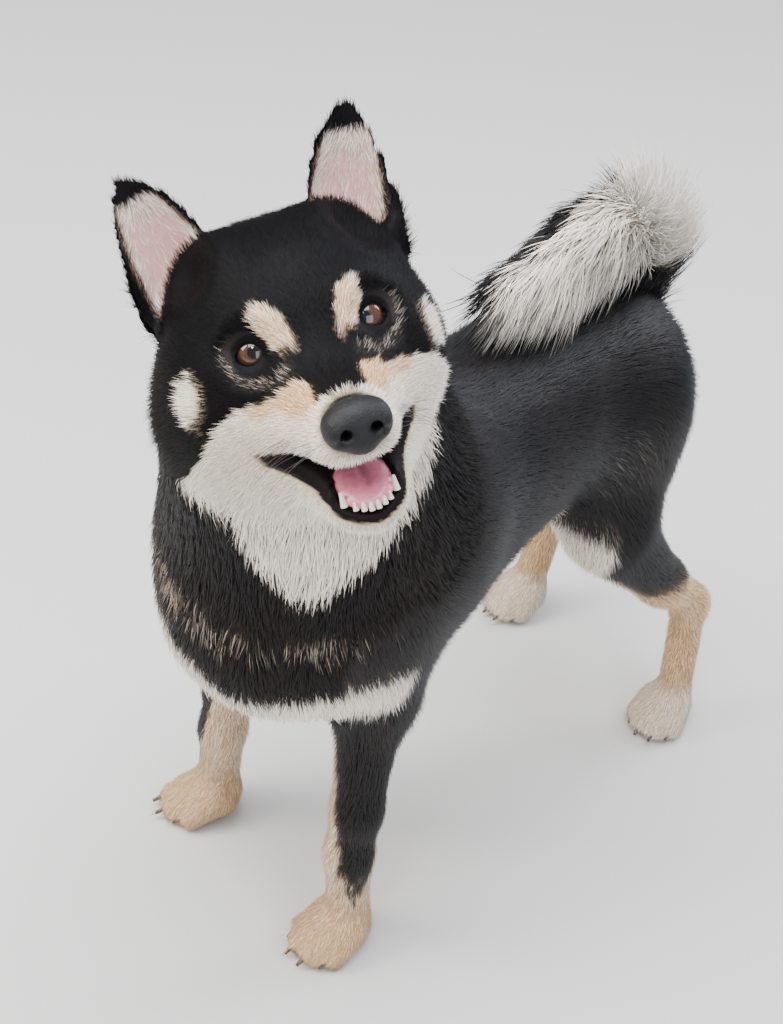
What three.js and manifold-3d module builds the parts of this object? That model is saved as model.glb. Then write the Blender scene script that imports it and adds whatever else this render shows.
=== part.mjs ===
// A life-size shiba inu of the black and tan kind, standing square on four feet and looking up to its left.
// Millimetres. +X is the dog's left, -Y the way its body faces, +Z up. The floor is z = 0.
import * as THREE from 'three';
import { mergeVertices } from 'three/addons/utils/BufferGeometryUtils.js';
import { triTable } from 'three/addons/objects/MarchingCubes.js';
import Module from 'manifold-3d';

const wasm = await Module();
wasm.setup();

// Driving dimensions
const WITHERS_HEIGHT = 392; // over the coat
const CROUP_HEIGHT = 380;
const CHEST_HALF_WIDTH = 75;
const BRISKET_HEIGHT = 196;
const EYE_SPACING = 62;
const EYE_RADIUS = 10.4;
const LID_THICKNESS = 2.2;
const EAR_THICKNESS = 5;
const GAP = 0.3; // between pieces that touch
const GRID_STEP = 3; // of the lattice that the flesh is meshed on
const FLESH_TRIANGLES = 7000;
const FACE_CARE = 5; // how much dearer an error is on the face than on the body

const vec = (p) => new THREE.Vector3(...p);
const mix = (a, b, t) => a + (b - a) * t;
const mixPoint = (a, b, t) => a.map((v, i) => mix(v, b[i], t));

// Where each foot stands, and the head's place and turn
const PAW = {
  front_left: [50, -155, 0],
  front_right: [-98, -126, 0],
  hind_left: [80, 216, 0],
  hind_right: [-86, 246, 0],
};
const HEAD_PLACE = new THREE.Matrix4()
  .makeTranslation(18, -230, 502)
  .multiply(new THREE.Matrix4().makeRotationZ(THREE.MathUtils.degToRad(50.7)))
  .multiply(new THREE.Matrix4().makeRotationX(THREE.MathUtils.degToRad(-22.6)))
  .multiply(new THREE.Matrix4().makeRotationY(THREE.MathUtils.degToRad(-18.5)));
const HEAD_PLACE_BACK = HEAD_PLACE.clone().invert();
const onHead = (p) => vec(p).applyMatrix4(HEAD_PLACE).toArray();

// Distance fields: each returns a function of x, y, z that is negative inside its form

// A limb with round ends, thicker at one end, and flattened to a share of its width along one axis.
function limb(a, b, radiusA, radiusB, flat = null) {
  const squeeze = (p) => {
    if (!flat) return p;
    const along = p[0] * flat.axis[0] + p[1] * flat.axis[1] + p[2] * flat.axis[2];
    return p.map((v, i) => v + flat.axis[i] * along * (1 / flat.share - 1));
  };
  const [ax, ay, az] = squeeze(a);
  const end = squeeze(b);
  const [bx, by, bz] = [end[0] - ax, end[1] - ay, end[2] - az];
  const l2 = bx * bx + by * by + bz * bz;
  const dr = radiusA - radiusB;
  const a2 = l2 - dr * dr;
  const il2 = 1 / l2;
  return (x, y, z) => {
    let [qx, qy, qz] = [x, y, z];
    if (flat) {
      const along = x * flat.axis[0] + y * flat.axis[1] + z * flat.axis[2];
      const push = along * (1 / flat.share - 1);
      qx += flat.axis[0] * push;
      qy += flat.axis[1] * push;
      qz += flat.axis[2] * push;
    }
    const [px, py, pz] = [qx - ax, qy - ay, qz - az];
    const t = px * bx + py * by + pz * bz;
    const u = t - l2;
    const [cx, cy, cz] = [px * l2 - bx * t, py * l2 - by * t, pz * l2 - bz * t];
    const x2 = cx * cx + cy * cy + cz * cz;
    const y2 = t * t * l2;
    const z2 = u * u * l2;
    const k = Math.sign(dr) * dr * dr * x2;
    if (Math.sign(u) * a2 * z2 > k) return Math.sqrt(x2 + z2) * il2 - radiusB;
    if (Math.sign(t) * a2 * y2 < k) return Math.sqrt(x2 + y2) * il2 - radiusA;
    return (Math.sqrt(x2 * a2 * il2) + t * dr) * il2 - radiusA;
  };
}

// An egg with its own radii, turned by angles in degrees.
function egg(centre, radii, turn = [0, 0, 0]) {
  const place = new THREE.Matrix4()
    .makeRotationFromEuler(new THREE.Euler(...turn.map(THREE.MathUtils.degToRad)))
    .setPosition(...centre);
  const m = place.invert().elements;
  const [rx, ry, rz] = radii;
  return (x, y, z) => {
    const px = (m[0] * x + m[4] * y + m[8] * z + m[12]) / rx;
    const py = (m[1] * x + m[5] * y + m[9] * z + m[13]) / ry;
    const pz = (m[2] * x + m[6] * y + m[10] * z + m[14]) / rz;
    const k0 = Math.sqrt(px * px + py * py + pz * pz);
    const k1 = Math.sqrt((px / rx) ** 2 + (py / ry) ** 2 + (pz / rz) ** 2);
    return k1 < 1e-9 ? -Math.min(rx, ry, rz) : (k0 * (k0 - 1)) / k1;
  };
}

const blend = (a, b, k) => {
  const h = Math.max(k - Math.abs(a - b), 0) / k;
  return Math.min(a, b) - h * h * k * 0.25;
};

// Forms blended in turn, each over its own length.
const flesh = (forms) => (x, y, z) =>
  forms.reduce((d, [form, k]) => blend(d, form(x, y, z), k), 1e3);

const BOTH = [1, -1];

// The trunk: rib cage, forechest, belly, loin, rump and the line of the back.
function trunkForms() {
  const ribs = (WITHERS_HEIGHT - BRISKET_HEIGHT) / 2;
  return [
    [egg([-13, -86, BRISKET_HEIGHT + ribs - 3], [CHEST_HALF_WIDTH, 116, ribs], [-4, 0, 0]), 20],
    [egg([-26, -172, 251], [74, 58, 64]), 40],
    [limb([-8, -96, WITHERS_HEIGHT - 54], [-18, 150, CROUP_HEIGHT - 54], 54, 52), 40],
    [egg([-16, 50, 300], [64, 124, 68], [3, 0, 2]), 40],
    [egg([-19, 146, 322], [62, 58, 56]), 30],
    ...BOTH.map((s) => [egg([s * 44 - 14, -124, 300], [30, 52, 70], [12, 0, 0]), 34]),
  ];
}

// The neck is thick and round, with a ruff that runs from the cheeks to the forechest.
function neckForms() {
  return [
    [limb(onHead([0, 52, -14]), [-12, -122, 322], 60, 78), 44],
    [limb(onHead([0, 34, -52]), [-24, -172, 292], 44, 70), 44],
    [limb(onHead([-42, 48, -42]), [-48, -168, 316], 47, 60), 30], // the ruff is fuller on the side that the head turns to
  ];
}

// A front leg from the shoulder to the toes.
function frontLegForms(side, paw) {
  const [px, py] = paw;
  const elbow = [px * 0.62 + side * 11 - 6, py + 28, 204];
  const wrist = [px - side * 3, py + 5, 80];
  return [
    [limb([side * 40 - 14, -158, 276], elbow, 40, 26), 30],
    [limb([elbow[0], elbow[1] - 10, elbow[2] - 8], [wrist[0], wrist[1], wrist[2] + 40], 24, 17), 20],
    [limb([wrist[0], wrist[1], wrist[2] + 40], wrist, 17, 16.5), 12],
    [limb(wrist, [px, py + 10, 28], 16.5, 15.5), 12],
    ...pawForms(side, paw, side < 0 ? -38 : -10, 1),
  ];
}

// A hind leg from the thigh to the toes, with its hock behind the foot.
function hindLegForms(side, paw) {
  const [px, py] = paw;
  const knee = [px * 0.3 + side * 30 - 12, py - 106, 214];
  const hock = [px - side * 8, py + 14, 110];
  return [
    [limb([side * 28 - 18, 142, 300], [side * 36 - 14, py - 84, 244], 55, 44), 40],
    [egg([side * 34 - 17, 158, 266], [36, 42, 60], [24, 0, 0]), 30],
    [limb([knee[0], knee[1] + 12, knee[2]], mixPoint(knee, hock, 0.66), 34, 19), 24],
    [limb(mixPoint(knee, hock, 0.66), hock, 19, 14.5), 14],
    [limb(hock, [px, py + 12, 30], 15, 14), 12],
    ...pawForms(side, paw, side < 0 ? -8 : 8, 0.94),
  ];
}

// Four arched toes round a pad. turn is the way they point, in degrees from straight ahead.
const TOES = [
  { across: -17, ahead: -14, radius: 9.5 },
  { across: -6.4, ahead: -24, radius: 10.5 },
  { across: 6.4, ahead: -24, radius: 10.5 },
  { across: 17, ahead: -14, radius: 9.5 },
];
function toePlace(paw, turn, size, toe, lift) {
  const t = THREE.MathUtils.degToRad(turn);
  const [x, y] = [toe.across * size, toe.ahead * size];
  return [paw[0] + x * Math.cos(t) - y * Math.sin(t), paw[1] + x * Math.sin(t) + y * Math.cos(t), lift];
}
function pawForms(side, paw, turn, size) {
  return [
    [egg([paw[0], paw[1] + 2, 15], [23 * size, 25 * size, 17]), 10],
    ...TOES.map((toe) => [
      limb(
        toePlace(paw, turn, size, { ...toe, across: toe.across * 0.7, ahead: 2 }, 19),
        toePlace(paw, turn, size, toe, toe.radius - 1),
        toe.radius + 1,
        toe.radius,
      ),
      4,
    ]),
  ];
}

// The head in its own frame: the eyes are level with its origin, and the nose is at -Y.
const MOUTH = { corner: [-16, -50], lowerFront: [-58, -86], upperFront: [-74, -58] };
const NOSE_PLACE = [0, -72, -35];
function headForms() {
  return [
    [egg([0, 36, 6], [62, 58, 53]), 10],
    ...BOTH.map((s) => [egg([s * 43, 32, -26], [33, 42, 37]), 26]),
    ...BOTH.map((s) => [egg([s * 36, 38, 34], [24, 26, 24]), 20]),
    [limb([0, 4, -24], [0, -56, -35], 31, 19), 24],
    ...BOTH.map((s) => [limb([s * 24, 2, -36], [s * 10, -58, -47], 21, 11.5), 16]),
    ...BOTH.map((s) => [egg([s * 20, -6, 14], [15, 12, 9]), 12]),
    [limb([0, 24, -60], [0, -48, -91], 32, 11), 20],
    ...BOTH.map((s) => [limb([s * 24, 10, -58], [s * 12.5, -43, -87], 18, 9.5), 12]),
  ];
}

// Space between the jaws: below the upper lip's line, above the lower one's and ahead of the mouth's corners.
function mouthSpace(x, y, z) {
  const [cy, cz] = MOUTH.corner;
  const below = (line) => {
    const [dy, dz] = [line[0] - cy, line[1] - cz];
    const l = Math.hypot(dy, dz);
    return (-(z - cz) * dy + (y - cy) * dz) / l;
  };
  const upper = below(MOUTH.upperFront);
  const lower = below(MOUTH.lowerFront);
  return Math.max(upper, -lower, Math.abs(x) - 44);
}

const headForm = flesh(headForms());

const bodyForm = flesh([
  ...trunkForms(),
  ...neckForms(),
  ...frontLegForms(1, PAW.front_left),
  ...frontLegForms(-1, PAW.front_right),
  ...hindLegForms(1, PAW.hind_left),
  ...hindLegForms(-1, PAW.hind_right),
]);

function dogField(x, y, z) {
  const m = HEAD_PLACE_BACK.elements;
  const hx = m[0] * x + m[4] * y + m[8] * z + m[12];
  const hy = m[1] * x + m[5] * y + m[9] * z + m[13];
  const hz = m[2] * x + m[6] * y + m[10] * z + m[14];
  const body = bodyForm(x, y, z);
  if (hx * hx + hy * hy + hz * hz > 190 * 190) return body;
  return -blend(-blend(headForm(hx, hy, hz), body, 30), mouthSpace(hx, hy, hz), 4);
}

// Marching cubes over the blocks of the lattice that the surface passes through.
function polygonise(field, low, high, step, slope = 1.7) {
  const n = low.map((v, i) => Math.ceil((high[i] - v) / step) + 1);
  const at = (i, j, k) => (k * n[1] + j) * n[0] + i;
  const values = new Float32Array(n[0] * n[1] * n[2]).fill(NaN);
  const value = (i, j, k) => {
    const id = at(i, j, k);
    if (Number.isNaN(values[id])) values[id] = field(low[0] + i * step, low[1] + j * step, low[2] + k * step) || 1e-6;
    return values[id];
  };
  const BLOCK = 6;
  const reach = BLOCK * step * Math.sqrt(3) * 0.5 * slope; // slope is the steepest that the field gets
  const CORNERS = [[0, 0, 0], [1, 0, 0], [1, 1, 0], [0, 1, 0], [0, 0, 1], [1, 0, 1], [1, 1, 1], [0, 1, 1]];
  const EDGES = [[0, 1], [1, 2], [2, 3], [3, 0], [4, 5], [5, 6], [6, 7], [7, 4], [0, 4], [1, 5], [2, 6], [3, 7]];
  const found = new Map();
  const positions = [];
  const triangles = [];
  const crossing = (i, j, k, edge) => {
    const [a, b] = EDGES[edge].map((c) => [i + CORNERS[c][0], j + CORNERS[c][1], k + CORNERS[c][2]]);
    const [ia, ib] = [at(...a), at(...b)];
    const key = Math.min(ia, ib) * 4 + (a[0] !== b[0] ? 0 : a[1] !== b[1] ? 1 : 2);
    if (!found.has(key)) {
      const t = values[ia] / (values[ia] - values[ib]);
      found.set(key, positions.length / 3);
      positions.push(...a.map((v, axis) => low[axis] + step * mix(v, b[axis], THREE.MathUtils.clamp(t, 0.04, 0.96))));
    }
    return found.get(key);
  };
  const cell = (i, j, k) => {
    let index = 0;
    CORNERS.forEach(([a, b, c], bit) => {
      if (value(i + a, j + b, k + c) < 0) index |= 1 << bit;
    });
    for (let t = index * 16; triTable[t] !== -1; t += 3)
      triangles.push([0, 1, 2].map((e) => crossing(i, j, k, triTable[t + e])));
  };
  for (let k = 0; k < n[2] - 1; k += BLOCK)
    for (let j = 0; j < n[1] - 1; j += BLOCK)
      for (let i = 0; i < n[0] - 1; i += BLOCK) {
        const middle = [i, j, k].map((v, axis) => low[axis] + (v + BLOCK / 2) * step);
        if (Math.abs(field(...middle)) > reach) continue;
        for (let c = k; c < Math.min(k + BLOCK, n[2] - 1); c++)
          for (let b = j; b < Math.min(j + BLOCK, n[1] - 1); b++)
            for (let a = i; a < Math.min(i + BLOCK, n[0] - 1); a++) cell(a, b, c);
      }
  return { positions, triangles };
}

// Collapses the edges whose loss changes the surface least, by quadric error, until so many triangles are left.
function coarsen({ positions, triangles }, target, care = () => 1) {
  const count = positions.length / 3;
  const quadrics = Array.from({ length: count }, () => new Float64Array(10));
  const faces = triangles.map((t) => [...t]);
  const alive = new Uint8Array(faces.length).fill(1);
  const around = Array.from({ length: count }, () => new Set());
  const version = new Uint32Array(count);
  const point = (v) => [positions[3 * v], positions[3 * v + 1], positions[3 * v + 2]];
  const cross = (a, b, c) => {
    const [ux, uy, uz] = [b[0] - a[0], b[1] - a[1], b[2] - a[2]];
    const [vx, vy, vz] = [c[0] - a[0], c[1] - a[1], c[2] - a[2]];
    return [uy * vz - uz * vy, uz * vx - ux * vz, ux * vy - uy * vx];
  };
  const SMALL = 2e-3; // pulls each vertex to its old place where the surface is flat
  faces.forEach((face, f) => {
    const corners = face.map(point);
    const n = cross(...corners);
    const area = Math.hypot(...n) || 1e-12;
    const [a, b, c] = n.map((v) => v / area);
    const d = -(a * corners[0][0] + b * corners[0][1] + c * corners[0][2]);
    const w = area * 0.5 * care(corners[0]);
    const terms = [a * a, a * b, a * c, a * d, b * b, b * c, b * d, c * c, c * d, d * d];
    face.forEach((v) => {
      around[v].add(f);
      const [x, y, z] = point(v);
      const pull = [1, 0, 0, -x, 1, 0, -y, 1, -z, x * x + y * y + z * z];
      terms.forEach((term, i) => (quadrics[v][i] += w * (term + SMALL * pull[i])));
    });
  });
  const error = (q, [x, y, z]) =>
    q[0] * x * x + 2 * q[1] * x * y + 2 * q[2] * x * z + 2 * q[3] * x + q[4] * y * y +
    2 * q[5] * y * z + 2 * q[6] * y + q[7] * z * z + 2 * q[8] * z + q[9];
  const best = (u, v) => {
    const q = quadrics[u].map((value, i) => value + quadrics[v][i]);
    const m = new THREE.Matrix3().set(q[0], q[1], q[2], q[1], q[4], q[5], q[2], q[5], q[7]);
    let place = mixPoint(point(u), point(v), 0.5);
    if (Math.abs(m.determinant()) > 1e-10)
      place = vec([-q[3], -q[6], -q[8]]).applyMatrix3(m.invert()).toArray();
    return { place, cost: error(q, place) };
  };
  const heap = [];
  const swap = (a, b) => ([heap[a], heap[b]] = [heap[b], heap[a]]);
  const push = (item) => {
    let i = heap.push(item) - 1;
    while (i > 0 && heap[(i - 1) >> 1].cost > heap[i].cost) {
      swap(i, (i - 1) >> 1);
      i = (i - 1) >> 1;
    }
  };
  const pop = () => {
    const top = heap[0];
    const last = heap.pop();
    if (heap.length) {
      heap[0] = last;
      for (let i = 0; ; ) {
        const [l, r] = [2 * i + 1, 2 * i + 2];
        let least = i;
        if (l < heap.length && heap[l].cost < heap[least].cost) least = l;
        if (r < heap.length && heap[r].cost < heap[least].cost) least = r;
        if (least === i) break;
        swap(i, least);
        i = least;
      }
    }
    return top;
  };
  const consider = (u, v) => push({ u, v, ...best(u, v), stamp: version[u] + version[v] });
  faces.forEach(([a, b, c]) => {
    if (a < b) consider(a, b);
    if (b < c) consider(b, c);
    if (c < a) consider(c, a);
  });
  const neighbours = (v) => {
    const seen = new Set();
    around[v].forEach((f) => faces[f].forEach((w) => w !== v && seen.add(w)));
    return seen;
  };
  let left = faces.length;
  const TURN_LIMIT = 0.35; // least cosine between a face's normal before and after
  const SLIVER = 0.06;
  const spoils = (v, other, place) =>
    [...around[v]].some((f) => {
      if (faces[f].includes(other)) return false;
      const before = faces[f].map(point);
      const after = faces[f].map((w, i) => (w === v ? place : before[i]));
      const [n0, n1] = [cross(...before), cross(...after)];
      const [l0, l1] = [Math.hypot(...n0), Math.hypot(...n1)];
      const longest = Math.max(...after.map((p, i) => Math.hypot(...p.map((c, k) => c - after[(i + 1) % 3][k]))));
      return n0[0] * n1[0] + n0[1] * n1[1] + n0[2] * n1[2] < TURN_LIMIT * l0 * l1 || l1 < SLIVER * longest * longest;
    });
  while (left > target && heap.length) {
    const { u, v, place, stamp } = pop();
    if (stamp !== version[u] + version[v] || !around[u].size || !around[v].size) continue;
    const [nu, nv] = [neighbours(u), neighbours(v)];
    if (!nu.has(v) || [...nu].filter((w) => nv.has(w)).length !== 2) continue;
    if (spoils(u, v, place) || spoils(v, u, place)) continue;
    place.forEach((c, i) => (positions[3 * u + i] = c));
    quadrics[v].forEach((value, i) => (quadrics[u][i] += value));
    [...around[v]].forEach((f) => {
      if (faces[f].includes(u)) {
        faces[f].forEach((w) => around[w].delete(f));
        alive[f] = 0;
        left -= 1;
      } else {
        faces[f] = faces[f].map((w) => (w === v ? u : w));
        around[u].add(f);
      }
    });
    around[v].clear();
    version[u] += 1;
    version[v] += 1e6;
    neighbours(u).forEach((w) => {
      version[w] += 0;
      consider(Math.min(u, w), Math.max(u, w));
    });
  }
  return { positions, triangles: faces.filter((_, f) => alive[f]) };
}

function solidOf({ positions, triangles }) {
  const used = new Map();
  const vertProperties = [];
  const index = (v) => {
    if (!used.has(v)) {
      used.set(v, used.size);
      vertProperties.push(...positions.slice(3 * v, 3 * v + 3));
    }
    return used.get(v);
  };
  const triVerts = triangles.flatMap((t) => t.map(index));
  const make = (order) =>
    new wasm.Manifold(
      new wasm.Mesh({ numProp: 3, vertProperties: new Float32Array(vertProperties), triVerts: new Uint32Array(order) }),
    );
  const solid = make(triVerts);
  return solid.volume() > 0 ? solid : make([...triVerts].reverse());
}

// A three.js geometry, placed by a matrix, as a solid.
function solidFrom(geometry, place = new THREE.Matrix4()) {
  const bare = geometry.clone().applyMatrix4(place);
  bare.deleteAttribute('normal');
  bare.deleteAttribute('uv');
  const merged = mergeVertices(bare, 1e-4);
  const index = [...merged.index.array];
  const triangles = [];
  for (let i = 0; i < index.length; i += 3) {
    const t = index.slice(i, i + 3);
    if (new Set(t).size === 3) triangles.push(t);
  }
  return solidOf({ positions: [...merged.attributes.position.array], triangles });
}

// A closed skin over rings of as many points each, with a fan on each end.
function loft(rings) {
  const size = rings[0].length;
  const positions = rings.flat(2);
  const triangles = [];
  for (let r = 0; r < rings.length - 1; r++)
    for (let i = 0; i < size; i++) {
      const [a, b] = [r * size + i, r * size + ((i + 1) % size)];
      triangles.push([a, b, b + size], [a, b + size, a + size]);
    }
  [0, rings.length - 1].forEach((r, end) => {
    const middle = rings[r].reduce((s, p) => s.map((v, k) => v + p[k] / size), [0, 0, 0]);
    const hub = positions.push(...middle) / 3 - 1;
    for (let i = 0; i < size; i++) {
      const [a, b] = [r * size + i, r * size + ((i + 1) % size)];
      triangles.push(end ? [a, b, hub] : [b, a, hub]);
    }
  });
  return solidOf({ positions, triangles });
}

const largest = (solid) => solid.decompose().reduce((a, b) => (b.volume() > a.volume() ? b : a));

// A great block that fills the space behind a plane, grown past it by a little.
function behind([at, out], grow = 0) {
  const SIZE = 1600;
  const turn = new THREE.Quaternion().setFromUnitVectors(vec([0, 0, 1]), vec(out).normalize());
  const middle = vec(at).addScaledVector(vec(out).normalize(), grow - SIZE / 2);
  const matrix = new THREE.Matrix4().compose(middle, turn, vec([1, 1, 1]));
  return solidFrom(new THREE.BoxGeometry(SIZE, SIZE, SIZE), matrix);
}

// Parts a solid by planes: what lies behind all of them, and the rest with a thin gap between.
function carve(solid, ...planes) {
  const meet = (grow) => planes.map((plane) => behind(plane, grow)).reduce((a, b) => a.intersect(b));
  return [largest(solid.intersect(meet(0))), largest(solid.subtract(meet(GAP)))];
}

// The bed that a piece lies in: the piece itself with a thin gap all round.
function seatOf(solid) {
  const shifts = BOTH.flatMap((s) => [[s, 0, 0], [0, s, 0], [0, 0, s]]).map((way) => way.map((v) => v * GAP * 1.3));
  return shifts.reduce((seat, shift) => seat.add(solid.translate(...shift)), solid);
}

const place = (solid) => solid.transform(HEAD_PLACE.elements);

// An ear is a cupped plate on a curved axis. The cup opens forwards and a little outwards.
// The right one is laid further out than the left.
const EAR = { base: [50, 43, 37], tip: [63, 50, 108], side: [0.79, 0.05, -0.61], halfWidth: 33, depth: 19, splay: 5.5 };
function ear(s) {
  const splay = s < 0 ? EAR.splay : 0;
  const base = vec(EAR.base).add(vec([splay, 0, splay * 0.3]));
  const tip = vec(EAR.tip).add(vec([splay * 1.3, 0, splay * -0.9]));
  const side = vec(EAR.side).normalize();
  const axis = tip.clone().sub(base);
  const back = new THREE.Vector3().crossVectors(axis, side).normalize().multiplyScalar(-1);
  if (back.y < 0) back.negate();
  const across = 9;
  const rings = [];
  const ROOT = -0.34;
  const LEVELS = 12;
  for (let level = 0; level <= LEVELS; level++) {
    const v = mix(ROOT, 0.985, level / LEVELS);
    const up = Math.max(v, 0);
    const half = (EAR.halfWidth - splay * 0.4) * (v < 0 ? 1 + v * 0.5 : (1 - up ** 1.75) ** 0.72);
    const depth = EAR.depth * (v < 0 ? 1 : 1 - up * 0.9) * (half / EAR.halfWidth) ** 0.4;
    const thick = mix(EAR_THICKNESS, EAR_THICKNESS * 0.6, up) * Math.min(1, half / 8);
    const spot = (u, front) => {
      const bow = 1 - Math.abs(u) ** 2.2;
      const p = base
        .clone()
        .addScaledVector(axis, v)
        .addScaledVector(side, half * u)
        .addScaledVector(back, depth * bow - (v < 0 ? 0 : 3 * up * up) + (front ? -0.5 : 0.5) * thick * (0.35 + 0.65 * Math.sqrt(bow)));
      return [s * p.x, p.y, p.z];
    };
    const front = [];
    const rear = [];
    for (let i = 0; i <= across; i++) {
      const u = mix(-1, 1, i / across);
      front.push(spot(u, true));
      rear.unshift(spot(u, false));
    }
    rings.push([...front, ...rear]);
  }
  return place(loft(rings));
}

// The opening in front of each ear's cup, sunk in the skull's corner.
function earHollow(s) {
  const radii = [20, 23, 21];
  const at = [s * (EAR.base[0] + 3 + (s < 0 ? EAR.splay : 0)), EAR.base[1] - 20, EAR.base[2] + 12];
  return solidFrom(new THREE.SphereGeometry(1, 16, 11), new THREE.Matrix4().makeTranslation(...at).scale(vec(radii)));
}

// Both lids of an eye: a shell round the eyeball with an almond opening.
const EYE_OPENING = { long: 18.5, high: 13, slant: 20 };
const eyePlace = (s) => [s * EYE_SPACING * 0.5, 0, 0];
const GAZE = { out: 24, up: 4 };
function eyeFrame(s) {
  return new THREE.Matrix4()
    .makeTranslation(...eyePlace(s))
    .multiply(new THREE.Matrix4().makeRotationZ(THREE.MathUtils.degToRad(s * GAZE.out)))
    .multiply(new THREE.Matrix4().makeRotationX(THREE.MathUtils.degToRad(-GAZE.up)))
    .multiply(new THREE.Matrix4().makeRotationY(THREE.MathUtils.degToRad(-s * EYE_OPENING.slant)));
}
const ball = (radius, matrix, segments = 20) =>
  solidFrom(new THREE.SphereGeometry(radius, segments, Math.round(segments * 0.7)), matrix);
function almond(s) {
  const shape = new THREE.Shape();
  const STEPS = 14;
  for (let i = 0; i <= STEPS; i++) {
    const t = (i / STEPS) * Math.PI * 2;
    const [x, y] = [Math.cos(t), Math.sin(t)];
    const point = [(x * EYE_OPENING.long) / 2, (y * Math.abs(y) ** 0.25 * EYE_OPENING.high) / 2];
    if (i === 0) shape.moveTo(...point);
    else if (i < STEPS) shape.lineTo(...point);
  }
  const prism = new THREE.ExtrudeGeometry(shape, { depth: 30, bevelEnabled: false, steps: 1 });
  return solidFrom(prism, eyeFrame(s).multiply(new THREE.Matrix4().makeRotationX(Math.PI / 2)));
}

// The nose leather, with its two nostrils and the groove below them.
function nose() {
  const [, y, z] = NOSE_PLACE;
  const leather = flesh([
    [egg([0, y, z + 3], [17.5, 12, 10.5], [14, 0, 0]), 4],
    [egg([0, y - 3, z - 7], [10, 8, 9]), 7],
    ...BOTH.map((s) => [egg([s * 10.5, y - 2, z - 2], [7.5, 9.5, 8.5]), 5]),
  ]);
  const nostrils = BOTH.map((s) => limb([s * 7.2, y - 15, z - 3], [s * 9, y - 4, z - 1.5], 3.4, 2.2));
  const slits = BOTH.map((s) => limb([s * 9, y - 12, z - 4.5], [s * 17, y - 7, z - 7], 1.5, 1.1));
  const groove = limb([0, y - 16, z - 5], [0, y - 9, z - 19], 1.1, 1.1);
  const field = (px, py, pz) => {
    let d = leather(px, py, pz);
    [...nostrils, ...slits, groove].forEach((hole) => (d = -blend(-d, hole(px, py, pz), 2.5)));
    return d;
  };
  return solidOf(coarsen(polygonise(field, [-24, y - 18, z - 22], [24, y + 16, z + 20], 1.15, 9), 620));
}

// The tongue lies in the lower jaw with a groove down its middle.
function tongue() {
  const field = (x, y, z) => {
    const body = limb([0, -8, -57], [0, -46, -78], 16.5, 15.5, { axis: [0, -0.48, 0.88], share: 0.36 })(x, y, z);
    const groove = limb([0, -8, -50.6], [0, -52, -75], 1.5, 1.3)(x, y, z);
    return -blend(-body, groove, 3);
  };
  return solidOf(coarsen(polygonise(field, [-22, -70, -98], [22, 14, -36], 1.6, 9), 420));
}

// Teeth: incisors and canines of the lower jaw, each a cone sunk well into the gum.
const LOWER_TEETH = BOTH.flatMap((s) => [
  ...[0, 1, 2].map((i) => ({ at: [s * (2.1 + 4.3 * i), -54.5 + i * i * 0.9, -76.5 + i * 0.6], tall: 4.5, wide: 2 })),
  { at: [s * 17.5, -44, -67.5], tall: 9, wide: 2.6 },
]);
function tooth({ at, tall, wide }) {
  const cone = new THREE.CylinderGeometry(wide * 0.3, wide, tall + 6, 6, 1);
  const matrix = new THREE.Matrix4()
    .makeTranslation(at[0], at[1], at[2] - (tall + 6) / 2)
    .multiply(new THREE.Matrix4().makeRotationX(Math.PI / 2));
  return solidFrom(cone, matrix);
}

// A claw at each toe's front, curved down.
function claws(paw, turn, size) {
  return TOES.map((toe) => {
    const [back, front] = [
      toePlace(paw, turn, size, { ...toe, ahead: toe.ahead + 2 }, 12),
      toePlace(paw, turn, size, { ...toe, ahead: toe.ahead - toe.radius - 7 }, 4.5),
    ];
    const rings = [0, 0.5, 1].map((t) => {
      const [x, y, z] = mixPoint(back, front, t);
      const r = mix(3, 1, t);
      const lift = 3 * Math.sin(t * Math.PI);
      return Array.from({ length: 6 }, (_, i) => {
        const a = (i / 6) * Math.PI * 2;
        return [x + r * Math.cos(a), y, z + lift + r * 1.2 * Math.sin(a)];
      });
    });
    return loft(rings);
  });
}

// The tail rises from the rump and curls forwards over the back. Its core is a tapered limb along a smooth line.
const TAIL_LINE = new THREE.CatmullRomCurve3(
  [[-18, 152, 316], [-18, 178, 346], [-19, 186, 384], [-21, 158, 424], [-24, 110, 431], [-26, 62, 421], [-28, 16, 422]].map(vec),
);
function tailCore() {
  const STEPS = 18;
  const SIDES = 12;
  const frames = TAIL_LINE.computeFrenetFrames(STEPS, false);
  const rings = [];
  for (let i = 0; i <= STEPS; i++) {
    const t = i / STEPS;
    const at = TAIL_LINE.getPointAt(t);
    const full = mix(20, 37, THREE.MathUtils.smoothstep(t, 0.1, 0.45));
    const r = full * Math.sqrt(1 - 0.84 * t ** 6) * mix(1, 0.84, THREE.MathUtils.smoothstep(t, 0.5, 0.85));
    rings.push(
      Array.from({ length: SIDES }, (_, s) => {
        const a = (s / SIDES) * Math.PI * 2;
        return at.clone().addScaledVector(frames.normals[i], r * Math.cos(a)).addScaledVector(frames.binormals[i], r * Math.sin(a)).toArray();
      }),
    );
  }
  return loft(rings);
}

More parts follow.
